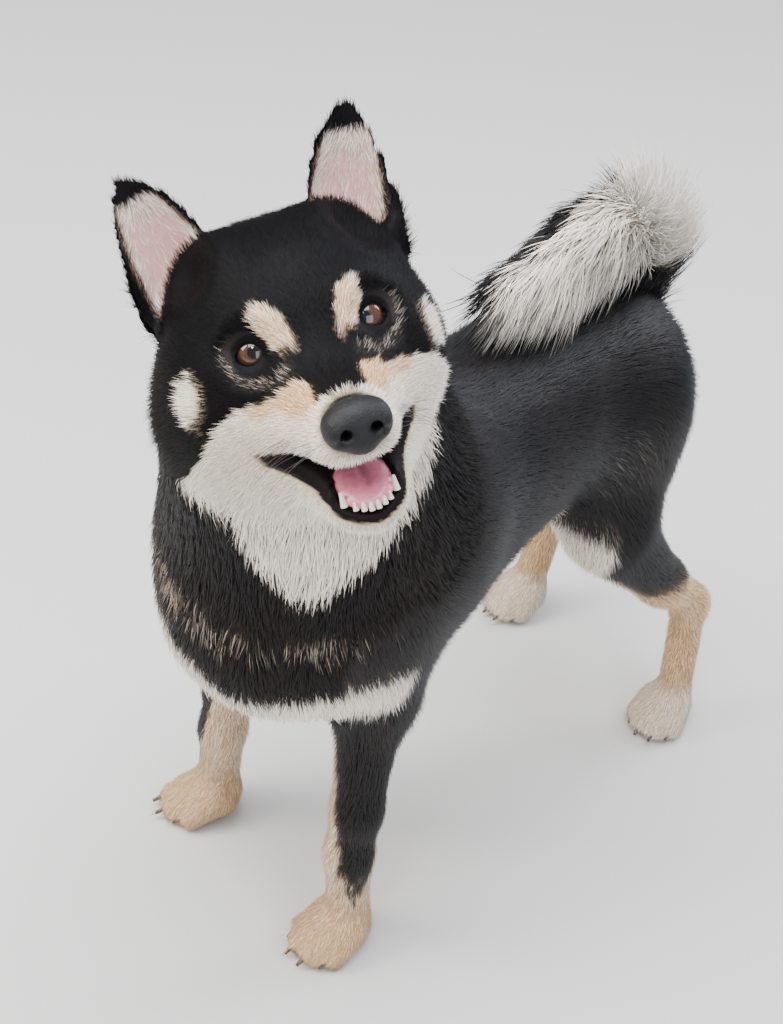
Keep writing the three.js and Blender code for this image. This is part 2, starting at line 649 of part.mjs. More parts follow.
// Building
const low = [-150, -345, -12];
const high = [150, 330, 640];
const careAt = (p) => {
  const [x, y, z] = vec(p).applyMatrix4(HEAD_PLACE_BACK).toArray();
  return Math.hypot(x, y + 30, z + 30) < 62 ? FACE_CARE : z > -120 && Math.hypot(x, y, z) < 110 ? 2.5 : 1;
};
let whole = solidOf(coarsen(polygonise(dogField, low, high, GRID_STEP), FLESH_TRIANGLES, careAt));
const floor = solidFrom(new THREE.BoxGeometry(1000, 1000, 100), new THREE.Matrix4().makeTranslation(0, 0, -50));
const eyes = {};
for (const [name, s] of [['left', 1], ['right', -1]]) {
  const frame = HEAD_PLACE.clone().multiply(eyeFrame(s));
  whole = whole.add(ball(EYE_RADIUS + GAP + LID_THICKNESS, frame, 16));
  whole = whole.subtract(place(almond(s)));
  whole = whole.subtract(ball(EYE_RADIUS + GAP, frame, 16));
  eyes[name] = ball(EYE_RADIUS, frame, 16);
  whole = whole.add(ear(s));
  whole = whole.subtract(place(earHollow(s)));
}
whole = largest(whole);

const nodes = {};
const add = (name, solid, color, roughness, metalness = 0) => {
  nodes[name] = { solid, color, roughness, metalness };
};
const BLACK = 0x1c1b1e;
const TAN = 0xc9a27a;

// The head comes off behind the ears, along the neck's own line
const nape = onHead([0, 74, -30]);
const headOut = vec([0, 0.80, -0.60]).transformDirection(HEAD_PLACE).toArray();
let [head, rest] = carve(whole, [nape, headOut]);
const neckOut = [0.02, 0.62, -0.78]; // the neck's base slopes from the withers to the forechest
let [neck, trunk] = carve(rest, [[0, -150, 336], neckOut]);

// Ears, nose and lower jaw leave the head
for (const [name, s] of [['left', 1], ['right', -1]]) {
  const at = onHead([s * 44, 42, 50]);
  const out = vec([s * -0.42, 0.05, -0.9]).transformDirection(HEAD_PLACE).toArray();
  const [earPart, skull] = carve(head, [at, out]);
  add(`ear_${name}`, earPart, BLACK, 0.8);
  head = skull;
}
const leather = nose();
const noseSolid = place(leather);
const noseSeat = place(seatOf(leather));
add('nose', noseSolid, 0x17171b, 0.35);
head = largest(head.subtract(noseSeat));
for (const name of ['left', 'right']) add(`eye_${name}`, eyes[name], 0x4a2a18, 0.08);

const jawTop = onHead([0, MOUTH.corner[0], MOUTH.corner[1]]);
const jawOut = vec([0, -0.41, 0.91]).transformDirection(HEAD_PLACE).toArray();
const jawBack = vec([0, 0.93, 0.36]).transformDirection(HEAD_PLACE).toArray();
let jaw;
[jaw, head] = carve(head, [jawTop, jawOut], [onHead([0, 14, -70]), jawBack]);
LOWER_TEETH.forEach((t) => (jaw = jaw.add(place(tooth(t)))));
add('head', head, BLACK, 0.8);
add('neck', neck, BLACK, 0.85);

// Legs leave the trunk on slanting cuts, and the paws leave the legs
const LEGS = [
  { name: 'foreleg_left', paw: 'front_left', s: 1, at: [32, -130, 232], out: [-0.72, 0.08, 0.69], turn: -10, size: 1 },
  { name: 'foreleg_right', paw: 'front_right', s: -1, at: [-58, -130, 232], out: [0.72, 0.08, 0.69], turn: -38, size: 1 },
  { name: 'hindleg_left', paw: 'hind_left', s: 1, at: [20, 140, 262], out: [-0.8, -0.18, 0.57], turn: 8, size: 0.94 },
  { name: 'hindleg_right', paw: 'hind_right', s: -1, at: [-52, 140, 262], out: [0.8, -0.18, 0.57], turn: -8, size: 0.94 },
];
for (const { name, paw, s, at, out, turn, size } of LEGS) {
  let leg;
  const midline = [[s * 3 - 14, 0, 0], [-s, 0, 0]];
  const end = paw.startsWith('front') ? [[0, -20, 0], [0, 1, 0]] : [[0, 20, 0], [0, -1, 0]];
  [leg, trunk] = carve(trunk, [at, out], midline, end);
  const [x, y] = PAW[paw];
  let foot;
  [foot, leg] = carve(leg, [[x, y, 34], [0, 0, 1]]);
  foot = claws(PAW[paw], turn, size).reduce((a, b) => a.add(b), foot);
  add(name, leg, BLACK, 0.85);
  add(`paw_${paw}`, largest(foot.subtract(floor)), TAN, 0.85);
}

// The tail's root is sunk in the rump up to a cut across it
const tailWhole = tailCore();
const tailRoot = [[-19, 180, 346], [0, -0.25, -0.968]];
const [tail] = carve(tailWhole, tailRoot);
trunk = largest(trunk.subtract(tailWhole.intersect(behind(tailRoot, GAP))));
add('tail', tail, BLACK, 0.85);
add('torso', trunk, BLACK, 0.85);

const tongueSolid = tongue();
const tongueSeat = place(seatOf(tongueSolid));
nodes.head.solid = largest(nodes.head.solid.subtract(tongueSeat));
add('lower_jaw', largest(jaw.subtract(tongueSeat)), 0xd9d2c4, 0.8);
add('tongue', place(tongueSolid), 0xd7788c, 0.45);

function meshOf(name, { solid, color, roughness, metalness }) {
  const { numProp, vertProperties, triVerts } = solid.getMesh();
  const geometry = new THREE.BufferGeometry();
  const flat = new Float32Array((vertProperties.length / numProp) * 3);
  for (let i = 0; i < flat.length / 3; i++) flat.set(vertProperties.subarray(i * numProp, i * numProp + 3), i * 3);
  geometry.setAttribute('position', new THREE.BufferAttribute(flat, 3));
  geometry.setIndex(new THREE.BufferAttribute(new Uint32Array(triVerts), 1));
  geometry.computeVertexNormals();
  const mesh = new THREE.Mesh(geometry, new THREE.MeshStandardMaterial({ color, roughness, metalness }));
  mesh.name = name;
  return mesh;
}

const dog = new THREE.Group();
dog.name = 'shiba_inu';
Object.entries(nodes).forEach(([name, node]) => dog.add(meshOf(name, node)));
// The origin is under the middle of the whole, at floor level
const middle = new THREE.Box3().setFromObject(dog).getCenter(new THREE.Vector3());
dog.position.set(-middle.x, -middle.y, 0);
export default dog;
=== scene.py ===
"""A black and tan shiba inu, life-size, as a still museum model: skin, coat, eyes, nose, mouth and claws."""

import logging
import math
from dataclasses import astuple, dataclass, field
from enum import Enum
from typing import Callable, Sequence

import bmesh
import bpy
import numpy as np
from mathutils import Matrix, Vector
from mathutils.bvhtree import BVHTree
from mathutils.geometry import interpolate_bezier


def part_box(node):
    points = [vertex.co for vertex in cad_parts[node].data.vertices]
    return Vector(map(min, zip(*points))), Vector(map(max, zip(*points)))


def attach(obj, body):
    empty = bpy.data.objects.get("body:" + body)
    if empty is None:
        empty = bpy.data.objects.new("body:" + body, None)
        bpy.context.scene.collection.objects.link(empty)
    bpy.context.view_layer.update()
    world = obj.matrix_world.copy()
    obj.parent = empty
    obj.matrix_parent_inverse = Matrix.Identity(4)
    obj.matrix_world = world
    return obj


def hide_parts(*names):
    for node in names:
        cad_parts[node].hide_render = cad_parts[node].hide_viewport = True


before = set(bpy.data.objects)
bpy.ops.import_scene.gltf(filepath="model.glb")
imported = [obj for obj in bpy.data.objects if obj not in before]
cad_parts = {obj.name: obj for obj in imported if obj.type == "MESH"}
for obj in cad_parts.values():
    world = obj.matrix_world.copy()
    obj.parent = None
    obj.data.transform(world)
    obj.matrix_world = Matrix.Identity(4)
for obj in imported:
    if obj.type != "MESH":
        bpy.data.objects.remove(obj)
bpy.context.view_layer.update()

logging.basicConfig(level=logging.INFO, format="%(message)s")
LOG = logging.getLogger("shiba")

MM = 0.001
FLOOR = 0.0003
PIECE_TRIANGLES = 196000
LIP_STEP = 0.0062
FLESH_NODES = (
    "head", "lower_jaw", "neck", "torso", "ear_left", "ear_right",
    "foreleg_left", "foreleg_right", "hindleg_left", "hindleg_right",
    "paw_front_left", "paw_front_right", "paw_hind_left", "paw_hind_right",
)
Array = np.ndarray
Socket = bpy.types.NodeSocket
Material = bpy.types.Material
Thing = bpy.types.Object


# Where things are


@dataclass(frozen=True)
class Pose:
    """The head's place and turn, the feet and the tail's line, in the dog's own millimetres."""

    head_at: tuple[float, float, float] = (18.0, -230.0, 502.0)
    head_turn: tuple[float, float, float] = (50.7, -22.6, -18.5)
    eye_out: float = 31.0
    paws: dict = field(default_factory=lambda: {
        "front_left": (50, -155), "front_right": (-98, -126), "hind_left": (80, 216), "hind_right": (-86, 246),
    })
    tail: tuple = (
        (-18, 152, 316), (-18, 178, 346), (-19, 186, 384), (-21, 158, 424), (-24, 110, 431), (-26, 62, 421),
        (-28, 16, 422),
    )

    def head_matrix(self) -> Matrix:
        """The head's own frame: the eyes level with its origin, the nose at -Y, the dog's left at +X."""
        z, x, y = (math.radians(a) for a in self.head_turn)
        turn = Matrix.Rotation(z, 4, "Z") @ Matrix.Rotation(x, 4, "X") @ Matrix.Rotation(y, 4, "Y")
        return Matrix.Translation(self.head_at) @ turn

    def shift(self) -> Vector:
        """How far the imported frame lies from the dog's own millimetres, read from the left eye's node."""
        low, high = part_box("eye_left")
        middle = (Vector(low) + Vector(high)) / 2 / MM
        away = middle - self.head_matrix() @ Vector((self.eye_out, 0, 0))
        return Vector((away.x, away.y, 0))


POSE = Pose()
SHIFT = POSE.shift()
HEAD = POSE.head_matrix()
HEAD_BACK = HEAD.inverted()


def to_frame(point: Sequence[float]) -> Vector:
    """Takes a point from the dog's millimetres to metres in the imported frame.

    Args:
        point: x, y and z in millimetres.

    Returns:
        The point in metres.
    """
    return (Vector(point) + SHIFT) * MM


def head_to_frame(point: Sequence[float]) -> Vector:
    """Takes a point of the head's own frame, in millimetres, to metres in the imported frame."""
    return to_frame(HEAD @ Vector(point))


def to_dog(points: Array) -> Array:
    """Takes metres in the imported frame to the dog's own millimetres."""
    return points / MM - np.array(SHIFT)


def to_head(points: Array) -> Array:
    """Takes the dog's millimetres to the head's own frame."""
    return moved(points, HEAD_BACK)


def moved(points: Array, matrix: Matrix) -> Array:
    """Takes rows of points through a matrix."""
    m = np.array(matrix)
    return points @ m[:3, :3].T + m[:3, 3]


def dot(a: Array, b: Array) -> Array:
    """The dot product of each pair of rows."""
    return np.einsum("nk,nk->n", a, b)


def unit(rows: Array) -> Array:
    """Rows scaled to a length of 1."""
    return rows / np.maximum(np.linalg.norm(rows, axis=1), 1e-6)[:, None]


def step(low: float, high: float, value: Array) -> Array:
    """A smooth step from 0 at low to 1 at high, either way round."""
    t = np.clip((value - low) / (high - low), 0.0, 1.0)
    return t * t * (3 - 2 * t)


def hill(points: Array, centre: Sequence[float], radii: Sequence[float], soft: float = 0.25) -> Array:
    """One inside an egg, 0 outside it, with a soft edge.

    Args:
        points: N points.
        centre: the egg's middle.
        radii: its three radii.
        soft: the edge's width as a share of the radii.

    Returns:
        N values from 0 to 1.
    """
    d = np.linalg.norm((points - np.array(centre)) / np.array(radii), axis=1)
    return step(1 + soft, 1 - soft, d)


def ripple(points: Array, size: float, seed: int = 0) -> Array:
    """Soft random patches from -1 to 1 of about the size given in millimetres."""
    rng = np.random.default_rng(100 + seed)
    total = np.zeros(len(points))
    for _ in range(7):
        way = rng.normal(size=3)
        way *= 2 * math.pi / size * rng.uniform(0.6, 1.5) / np.linalg.norm(way)
        total += np.sin(points @ way + rng.uniform(0, 6.28))
    return np.clip(total / 3.2, -1, 1)


# Which way the hair lies, and what each part of the coat is like


class Region(Enum):
    """The parts of the coat. Each value is its row in the table of pelts."""

    FACE = 0
    CROWN = 1
    CHEEK = 2
    NECK = 3
    TORSO = 4
    THIGH = 5
    LEG = 6
    PAW = 7
    EAR = 8
    TAIL = 9


@dataclass(frozen=True)
class Pelt:
    """One region's hair in millimetres: its length, width, rise from the skin, spacing and the coat's depth."""

    length: float
    width: float
    rise: float
    spacing: float
    depth: float


PELTS = {
    Region.FACE: Pelt(5.2, 0.42, 17, 0.95, 1.0),
    Region.CROWN: Pelt(8.0, 0.5, 17, 1.1, 1.6),
    Region.CHEEK: Pelt(13, 0.6, 24, 1.25, 3.2),
    Region.NECK: Pelt(17, 0.85, 24, 1.75, 6.0),
    Region.TORSO: Pelt(14, 0.75, 18, 1.55, 4.2),
    Region.THIGH: Pelt(13, 0.75, 17, 1.6, 3.8),
    Region.LEG: Pelt(7.5, 0.6, 15, 1.35, 1.8),
    Region.PAW: Pelt(5, 0.5, 16, 1.2, 1.2),
    Region.EAR: Pelt(5.5, 0.45, 15, 1.05, 0.7),
    Region.TAIL: Pelt(44, 0.85, 30, 1.45, 24.0),
}


@dataclass(frozen=True)
class Bone:
    """A line inside the dog with the radius round it, the lie of the hair on it, and its region."""

    a: tuple
    b: tuple
    radius: float
    region: Region
    lie: tuple = ()

    def away(self, points: Array) -> Array:
        """How far points are from the bone's surface, in millimetres."""
        a, b = np.array(self.a, float), np.array(self.b, float)
        t = np.clip((points - a) @ (b - a) / ((b - a) @ (b - a)), 0, 1)
        return np.linalg.norm(points - a - t[:, None] * (b - a), axis=1) - self.radius

    def way(self) -> Array:
        """The unit direction of the hair."""
        v = np.array(self.lie or np.subtract(self.b, self.a), float)
        return v / np.linalg.norm(v)


def head_point(*p: float) -> tuple:
    """A point of the head's own frame in the dog's millimetres."""
    return tuple(HEAD @ Vector(p))


@dataclass
class Anatomy:
    """The dog's lines: what region a point of its skin is in, and the lie of the hair there."""

    bones: list = field(default_factory=list)

    def __post_init__(self) -> None:
        """Lays out the lines of the neck, trunk, legs and tail."""
        add = self.bones.append
        add(Bone(head_point(0, 50, -30), (-12, -130, 322), 62, Region.NECK))
        add(Bone(head_point(0, 34, -70), (-22, -176, 290), 55, Region.NECK, (0, 0.15, -1)))
        add(Bone((-22, -180, 285), (-20, -165, 235), 62, Region.NECK, (0, 0.3, -1)))
        add(Bone((-10, -110, 340), (-18, 165, 330), 55, Region.TORSO, (0, 1, -0.12)))
        add(Bone((-13, -90, 285), (-16, 90, 290), 78, Region.TORSO, (0, 1, -0.5)))
        for side, name in ((1, "left"), (-1, "right")):
            px, py = POSE.paws[f"front_{name}"]
            elbow = (px * 0.62 + side * 11 - 6, py + 28, 204)
            wrist = (px - side * 3, py + 5, 80)
            add(Bone((side * 40 - 14, -156, 276), elbow, 36, Region.THIGH, (0, 0.35, -1)))
            add(Bone(elbow, wrist, 20, Region.LEG))
            add(Bone(wrist, (px, py + 10, 34), 16, Region.LEG, (0, -0.15, -1)))
            add(Bone((px, py + 8, 16), (px, py - 18, 8), 16, Region.PAW, (0, -0.8, -0.6)))
            px, py = POSE.paws[f"hind_{name}"]
            knee = (px * 0.3 + side * 30 - 12, py - 106, 214)
            hock = (px - side * 8, py + 14, 110)
            add(Bone((side * 28 - 18, 142, 300), knee, 54, Region.THIGH, (0, 0.45, -1)))
            add(Bone(knee, hock, 28, Region.LEG))
            add(Bone(hock, (px, py + 12, 34), 15, Region.LEG))
            add(Bone((px, py + 8, 16), (px, py - 16, 8), 16, Region.PAW, (0, -0.8, -0.6)))

    def read(self, points: Array, normals: Array) -> tuple[Array, Array, Array]:
        """Reads the lie, the region and the blended pelt at points of the skin.

        Args:
            points: N points in the dog's millimetres.
            normals: the skin's normals there.

        Returns:
            N unit directions along the skin, N region numbers, and N rows of pelt values.
        """
        away = np.stack([b.away(points) for b in self.bones])
        weight = np.exp(-(away - away.min(0)) / 9.0)
        weight /= weight.sum(0)
        lie = np.einsum("bn,bk->nk", weight, np.stack([b.way() for b in self.bones]))
        table = np.array([astuple(PELTS[r]) for r in Region])
        pelt = weight.T @ table[[b.region.value for b in self.bones]]
        region = np.array([b.region.value for b in self.bones])[away.argmin(0)]
        h = to_head(points)
        nape = (h[:, 1] - 66) * 0.8 - (h[:, 2] + 30) * 0.6
        on_head = step(14, -10, nape) * step(-128, -100, h[:, 2])
        ear, _, _ = ear_place(h)
        cheek = step(4, 30, h[:, 1]) * step(10, -24, h[:, 2])
        under = step(-64, -84, h[:, 2]) * step(-50, -20, h[:, 1])
        crown = step(-12, 14, h[:, 1]) * step(-30, 4, h[:, 2])
        rows = table[Region.FACE.value] * np.ones((len(points), 1))
        rows = mix(rows, table[Region.CROWN.value], crown)
        rows = mix(rows, table[Region.CHEEK.value], np.maximum(cheek, under * 0.7))
        rows = mix(rows, table[Region.EAR.value], ear)
        kind = np.where(np.maximum(cheek, under) > 0.5, Region.CHEEK.value, Region.FACE.value)
        kind = np.where(crown > 0.5, Region.CROWN.value, kind)
        kind = np.where(ear > 0.5, Region.EAR.value, kind)
        pelt = mix(pelt, rows, on_head)
        region = np.where(on_head > 0.5, kind, region)
        flow = unit(h - np.array([0, -84, -34]))
        side = np.sign(h[:, 0])
        up_ear = np.stack([side * 0.18, np.full_like(side, 0.08), np.ones_like(side)], 1)
        flow = mix(flow, up_ear, ear)
        back = np.stack([side * 0.55, np.full_like(side, 0.5), np.full_like(side, -0.65)], 1)
        flow = mix(flow, back, cheek * (1 - ear) * 0.6)
        flow = flow @ np.array(HEAD)[:3, :3].T
        lie = mix(lie, flow, on_head)
        lie -= normals * dot(lie, normals)[:, None]
        length = np.linalg.norm(lie, axis=1)[:, None]
        lie = np.where(length > 0.05, lie / np.maximum(length, 1e-6), np.cross(normals, [1.0, 0.1, 0]))
        return lie, region, pelt


def mix(a: Array, b: Array, t: Array) -> Array:
    """Blends rows of a towards b by t."""
    t = t[:, None] if np.ndim(a) > 1 or np.ndim(b) > 1 else t
    return a * (1 - t) + b * t


@dataclass(frozen=True)
class EarForm:
    """The ears' cupped plates in the head's frame. The right one is laid further out than the left."""

    base: tuple = (50.0, 43.0, 37.0)
    tip: tuple = (63.0, 50.0, 108.0)
    side: tuple = (0.79, 0.05, -0.61)
    half: float = 33.0
    depth: float = 19.0
    splay: float = 5.5
    hollow_at: tuple = (52.0, 23.0, 49.0)
    hollow: tuple = (20.5, 24.0, 21.5)
    roots: tuple = (((73.5, 50.0, 43.0), (4.0, 3.5, 12.0)), ((69.5, 48.0, 28.0), (6.0, 7.0, 13.0)))

    def read(self, h: Array) -> tuple[Array, ...]:
        """Finds where points of the head's frame are on an ear.

        Args:
            h: N points in the head's frame.

        Returns:
            How much each is on an ear, its place across from -1 to 1, its height from 0 to 1, how much it's on the
            cup's inner side, and its distance from the cup's middle.
        """
        splay = np.where(h[:, 0] < 0, self.splay, 0.0)
        p = np.stack([np.abs(h[:, 0]), h[:, 1], h[:, 2]], 1)
        base = np.array(self.base) + splay[:, None] * np.array([1, 0, 0.3])
        axis = np.array(self.tip) + splay[:, None] * np.array([1.3, 0, -0.9]) - base
        side = np.array(self.side) / np.linalg.norm(self.side)
        back = np.cross(axis, side)
        back *= (np.sign(back[:, 1]) / np.linalg.norm(back, axis=1))[:, None]
        v = dot(p - base, axis) / dot(axis, axis)
        rest = p - base - v[:, None] * axis
        up = np.clip(v, 0, 1)
        half = (self.half - splay * 0.4) * np.clip(1 - up**1.75, 0.02, 1) ** 0.72
        u = rest @ side / half
        bow = 1 - np.clip(np.abs(u), 0, 1) ** 2.2
        plate = self.depth * (1 - up * 0.9) * (half / self.half) ** 0.4 * bow - 3 * up * up
        off = dot(rest, back) - plate
        on = step(-0.3, -0.1, v) * step(1.4, 1.2, np.abs(u)) * step(9, 5, np.abs(off))
        pit = hill(p - splay[:, None] * np.array([1, 0, 0]), self.hollow_at, self.hollow, 0.08)
        pit *= step(11, 6, np.abs(off)) * step(0.6, 0.4, np.abs(u))
        front = step(0.8, -0.2, off) * on * step(0.58, 0.4, u) * step(-0.82, -0.62, u) * step(0.8, 0.64, v)
        return np.maximum(on, pit), u, v, np.maximum(front, pit), off


EARS = EarForm()


def ear_place(h: Array) -> tuple[Array, Array, Array]:
    """How much points are on an ear, with their places across and up it."""
    return EARS.read(h)[:3]


# The markings, in the dog's own millimetres


@dataclass(frozen=True)
class Markings:
    """Where the coat is tan, cream, flecked with grey, or bare and pink or dark, with a grey painted sheen high on the
    left flank.
    """

    bib_reach: tuple = (0.0, 0.166, 0.418, 0.647, 0.836, 1.0, 1.08)
    bib_width: tuple = (76.0, 70.0, 52.0, 41.0, 26.0, 9.0, 0.0)
    cheek_out: tuple = (0, 12, 17, 28, 38, 49, 62, 72, 95)
    cheek_up: tuple = (-24, -19, -14, -20, -23, -25, -30, -47, -80)

    def paint(self, points: Array, normals: Array) -> dict[str, Array]:
        """Works out each marking at points of the skin.

        Args:
            points: N points in the dog's millimetres.
            normals: the skin's normals.

        Returns:
            N values from 0 to 1 for tan, cream, grey, pink, dark and the ears' inner sides.
        """
        h = to_head(points)
        a = np.abs(h[:, 0])
        wobble = ripple(points, 11, 1) * 1.6 + ripple(points, 4, 2) * 0.9
        head = step(20, 0, (h[:, 1] - 70) * 0.8 - (h[:, 2] + 30) * 0.6)
        ear, u, v = ear_place(h)
        tan, cream, grey = self.face(h, a, wobble, head * (1 - ear))
        body_tan, body_cream, body_grey = self.body(points, normals, wobble)
        off = 1 - head
        tan = np.maximum(tan, body_tan * off)
        cream = np.maximum(np.maximum(cream, body_cream * off), self.bib(h, wobble))
        grey = np.maximum(grey, body_grey * off)
        inner = EARS.read(h)[3]
        pink = inner * step(0.9, 0.3, np.abs(u + 0.1)) * step(0.8, 0.4, v)
        z = points[:, 2]
        golden = np.where(points[:, 1] < 0, 0.8, 0.7 * step(15, 40, z))
        tan = np.maximum(tan, cream * off * step(225, 190, z) * golden)
        cream = np.maximum(cream, inner)
        tan = np.maximum(tan, inner * 0.3)
        mouth, lip = mouth_place(h)
        return {
            "tan": tan, "cream": cream, "grey": grey, "inner": inner,
            "pink": np.maximum(pink, inner * 0.4), "dark": np.maximum(mouth, lip),
        }

    def face(self, h: Array, a: Array, wobble: Array, head: Array) -> tuple[Array, Array, Array]:
        """Paints the brow spots, cheek spots, muzzle and rings below the eyes.

        Args:
            h: N points in the head's frame.
            a: how far each lies to either side.
            wobble: the markings' ragged edge in millimetres.
            head: how much each is on the head.

        Returns:
            Tan, cream and grey.
        """
        y, z = h[:, 1], h[:, 2]
        line = np.interp(a, self.cheek_out, self.cheek_up)
        muzzle = step(-1.5, 1.5, line - z + wobble)
        bridge = step(15.5, 12.5, a + wobble * 0.6) * step(-33, -27, z) * step(-64, -57, y)
        nose_rim = step(-60, -66, y) * step(-40, -32, z) * 0.6
        cream = np.maximum(muzzle * (1 - bridge), nose_rim) * head
        edge = step(13, 3, line - z) * step(12, 15, a) * step(50, 40, a) * step(-66, -56, y)
        streak = hill(np.stack([a, y, z], 1), (20, -44, -24), (8, 14, 9), 0.5)
        tan = np.clip(edge * muzzle * 0.75 + streak * 0.9, 0, 1) * head
        tilt = np.stack([a - 20 - (z - 12) * 0.32, z - 13], 1)
        brow = np.linalg.norm(tilt / np.array([7.2, 12.5]), axis=1) + wobble * 0.1
        brow = step(1.25, 0.75, brow) * step(4, -6, y)
        spot = hill(np.stack([a, y, z + wobble * 2], 1), (68, 4, -16), (12, 8.5, 14), 0.35)
        cream = np.maximum(cream, np.maximum(brow * 0.9, spot) * head)
        tan = np.maximum(tan, brow * 0.62 * head)
        ring = np.hypot(a - 32, z * 1.05)
        flecks = step(11.5, 13, ring) * step(20, 15, ring) * 0.6
        flecks = flecks * step(6, -6, z - (a - 32) * 0.3) * step(6, -4, y)
        beside = step(12, 14, ring) * step(21, 16, ring) * step(24, 34, a) * step(10, 4, y) * step(20, 4, z)
        grey = np.maximum(flecks, beside * 0.45) * (1 - cream) * head
        return tan, cream, grey

    def bib(self, h: Array, wobble: Array) -> Array:
        """Paints the cream throat that runs to a point below the jaw.

        Args:
            h: N points in the head's frame.
            wobble: the markings' ragged edge in millimetres.

        Returns:
            N values from 0 to 1.
        """
        a, b = np.array([0, 25.0, -60]), np.array([-38, 48.0, -155])
        t = (h - a) @ (b - a) / ((b - a) @ (b - a))
        away = np.linalg.norm(h - a - np.clip(t, 0, 1.1)[:, None] * (b - a), axis=1)
        width = np.interp(t, self.bib_reach, self.bib_width)
        return step(-4, 5, width - away + wobble * 1.5) * step(-0.15, 0.05, t) * step(-34, -46, h[:, 2])

    def body(self, p: Array, n: Array, wobble: Array) -> tuple[Array, Array, Array]:
        """Paints the chest, legs, belly and buttocks, and a grey painted sheen high on the left flank.

        Args:
            p: N points in the dog's millimetres.
            n: the skin's normals.
            wobble: the markings' ragged edge in millimetres.

        Returns:
            Tan, cream and grey.
        """
        x, y, z = p[:, 0], p[:, 1], p[:, 2]
        cream = hill(p, (-62, -205, 226), (42, 46, 32), 0.3)
        middle = 221 + np.clip(x, 0, 90) * 0.32 + np.clip(-x, 0, 80) * 0.5
        band = step(7, -5, np.abs(z - middle + wobble * 1.5) - np.where(x < 4, 12, 17)) * step(92, 74, x)
        cream = np.maximum(cream, band)
        cream *= step(-130, -160, y)
        grey = np.zeros_like(x)
        arc = np.abs(z - 290 + ((x + 5) / 60) ** 2 * -10) - 12
        ring = 0.28 + 0.3 * step(10, -40, x) + 0.2 * ripple(p, 22, 8)
        ring = step(6, -4, arc) * step(-140, -190, y) * ring
        grey = np.maximum(grey, ring)
        tan = ring * 0.5
        for side, name in ((1, "left"), (-1, "right")):
            px, py = POSE.paws[f"front_{name}"]
            mine = step(-14, 4, side * (x + 14)) * step(-20, -50, y)
            outer = n[:, 0] * side * 0.9 - n[:, 1] * 0.45
            low = step(205, 185, z + n[:, 0] * side * 14)
            clear = step(-0.05, 0.25, (1 - (z - 60) / 140) * 1.5 - 0.45 - outer + wobble * 0.05)
            leg = mine * low * clear
            tan = np.maximum(tan, leg * 0.6)
            cream = np.maximum(cream, leg * (0.72 + 0.28 * step(60, 20, z)))
            px, py = POSE.paws[f"hind_{name}"]
            mine = step(-14, 4, side * (x + 16)) * step(20, 50, y)
            front = step(0.25, 0.75, -n[:, 1] - n[:, 0] * side * 0.25) * step(250, 215, z)
            shank = step(168, 140, z - (y - 170) * 0.25 + wobble * 2)
            inside = step(0.1, 0.6, -n[:, 0] * side) * step(290, 250, z)
            back = step(0.1, 0.9, n[:, 1] + wobble * 0.06) * step(30, 62, z) * step(132, 95, z) * 0.9
            leg = mine * np.maximum(np.maximum(front, shank), inside) * (1 - back)
            tan = np.maximum(tan, leg * np.where(z > 40, 0.85 - 0.65 * step(140, 180, z), 0.4))
            pale = np.maximum(step(60, 20, z), np.maximum(front, inside) * step(130, 170, z))
            cream = np.maximum(cream, leg * (0.45 + 0.5 * pale))
        belly = step(-0.45, -0.85, n[:, 2]) * step(-40, 40, y) * step(200, 225, z)
        cream = np.maximum(cream, belly * 0.8)
        tan = np.maximum(tan, belly * 0.5)
        rump = step(0.2, 0.8, n[:, 1]) * step(170, 190, y) * step(190, 220, z) * step(350, 320, z)
        # A soft grey patch high on the left flank: painted sheen, the sky's light glancing off the black coat.
        flank_sheen = hill(p, (50, 105, 292), (40, 52, 38), 0.6)
        grey = np.maximum(grey, np.maximum(rump * (0.2 + 0.1 * ripple(p, 8, 11)), flank_sheen * 0.3))
        return tan, cream, grey


MOUTH_CORNER = (-16.0, -50.0)
UPPER_FRONT = (-74.0, -58.0)
LOWER_FRONT = (-58.0, -86.0)


def mouth_place(h: Array) -> tuple[Array, Array]:
    """How far points are inside the mouth, and on the dark rim of the lower lip.

    Args:
        h: N points in the head's frame.

    Returns:
        N values for the mouth's lining and N for the lip.
    """
    y, z = h[:, 1] - MOUTH_CORNER[0], h[:, 2] - MOUTH_CORNER[1]

    def below(front: tuple) -> Array:
        """How far the points are below the line from the mouth's corner to a jaw's front."""
        dy, dz = front[0] - MOUTH_CORNER[0], front[1] - MOUTH_CORNER[1]
        return (z * dy - y * dz) / math.hypot(dy, dz)

    upper, lower = below(UPPER_FRONT), below(LOWER_FRONT)
    ahead = step(4, 0, y)
    inside = step(-1.4, -0.2, upper) * step(3.2, 1.6, lower) * ahead * step(46, 40, np.abs(h[:, 0]))
    lip = step(7.4, 5.6, lower) * step(-1.5, 0, lower) * ahead
    return inside * (np.abs(h[:, 0]) < 46), lip * (h[:, 1] < -10)


ANATOMY = Anatomy()
MARKINGS = Markings()


# Finishes


def linear(code: str) -> tuple[float, float, float, float]:
    """Turns an sRGB hex colour into the linear one that the shaders use.

    Args:
        code: six hex digits.

    Returns:
        Red, green, blue and an alpha of 1.
    """
    values = [int(code[i : i + 2], 16) / 255 for i in (0, 2, 4)]
    return (*(v / 12.92 if v <= 0.04045 else ((v + 0.055) / 1.055) ** 2.4 for v in values), 1.0)


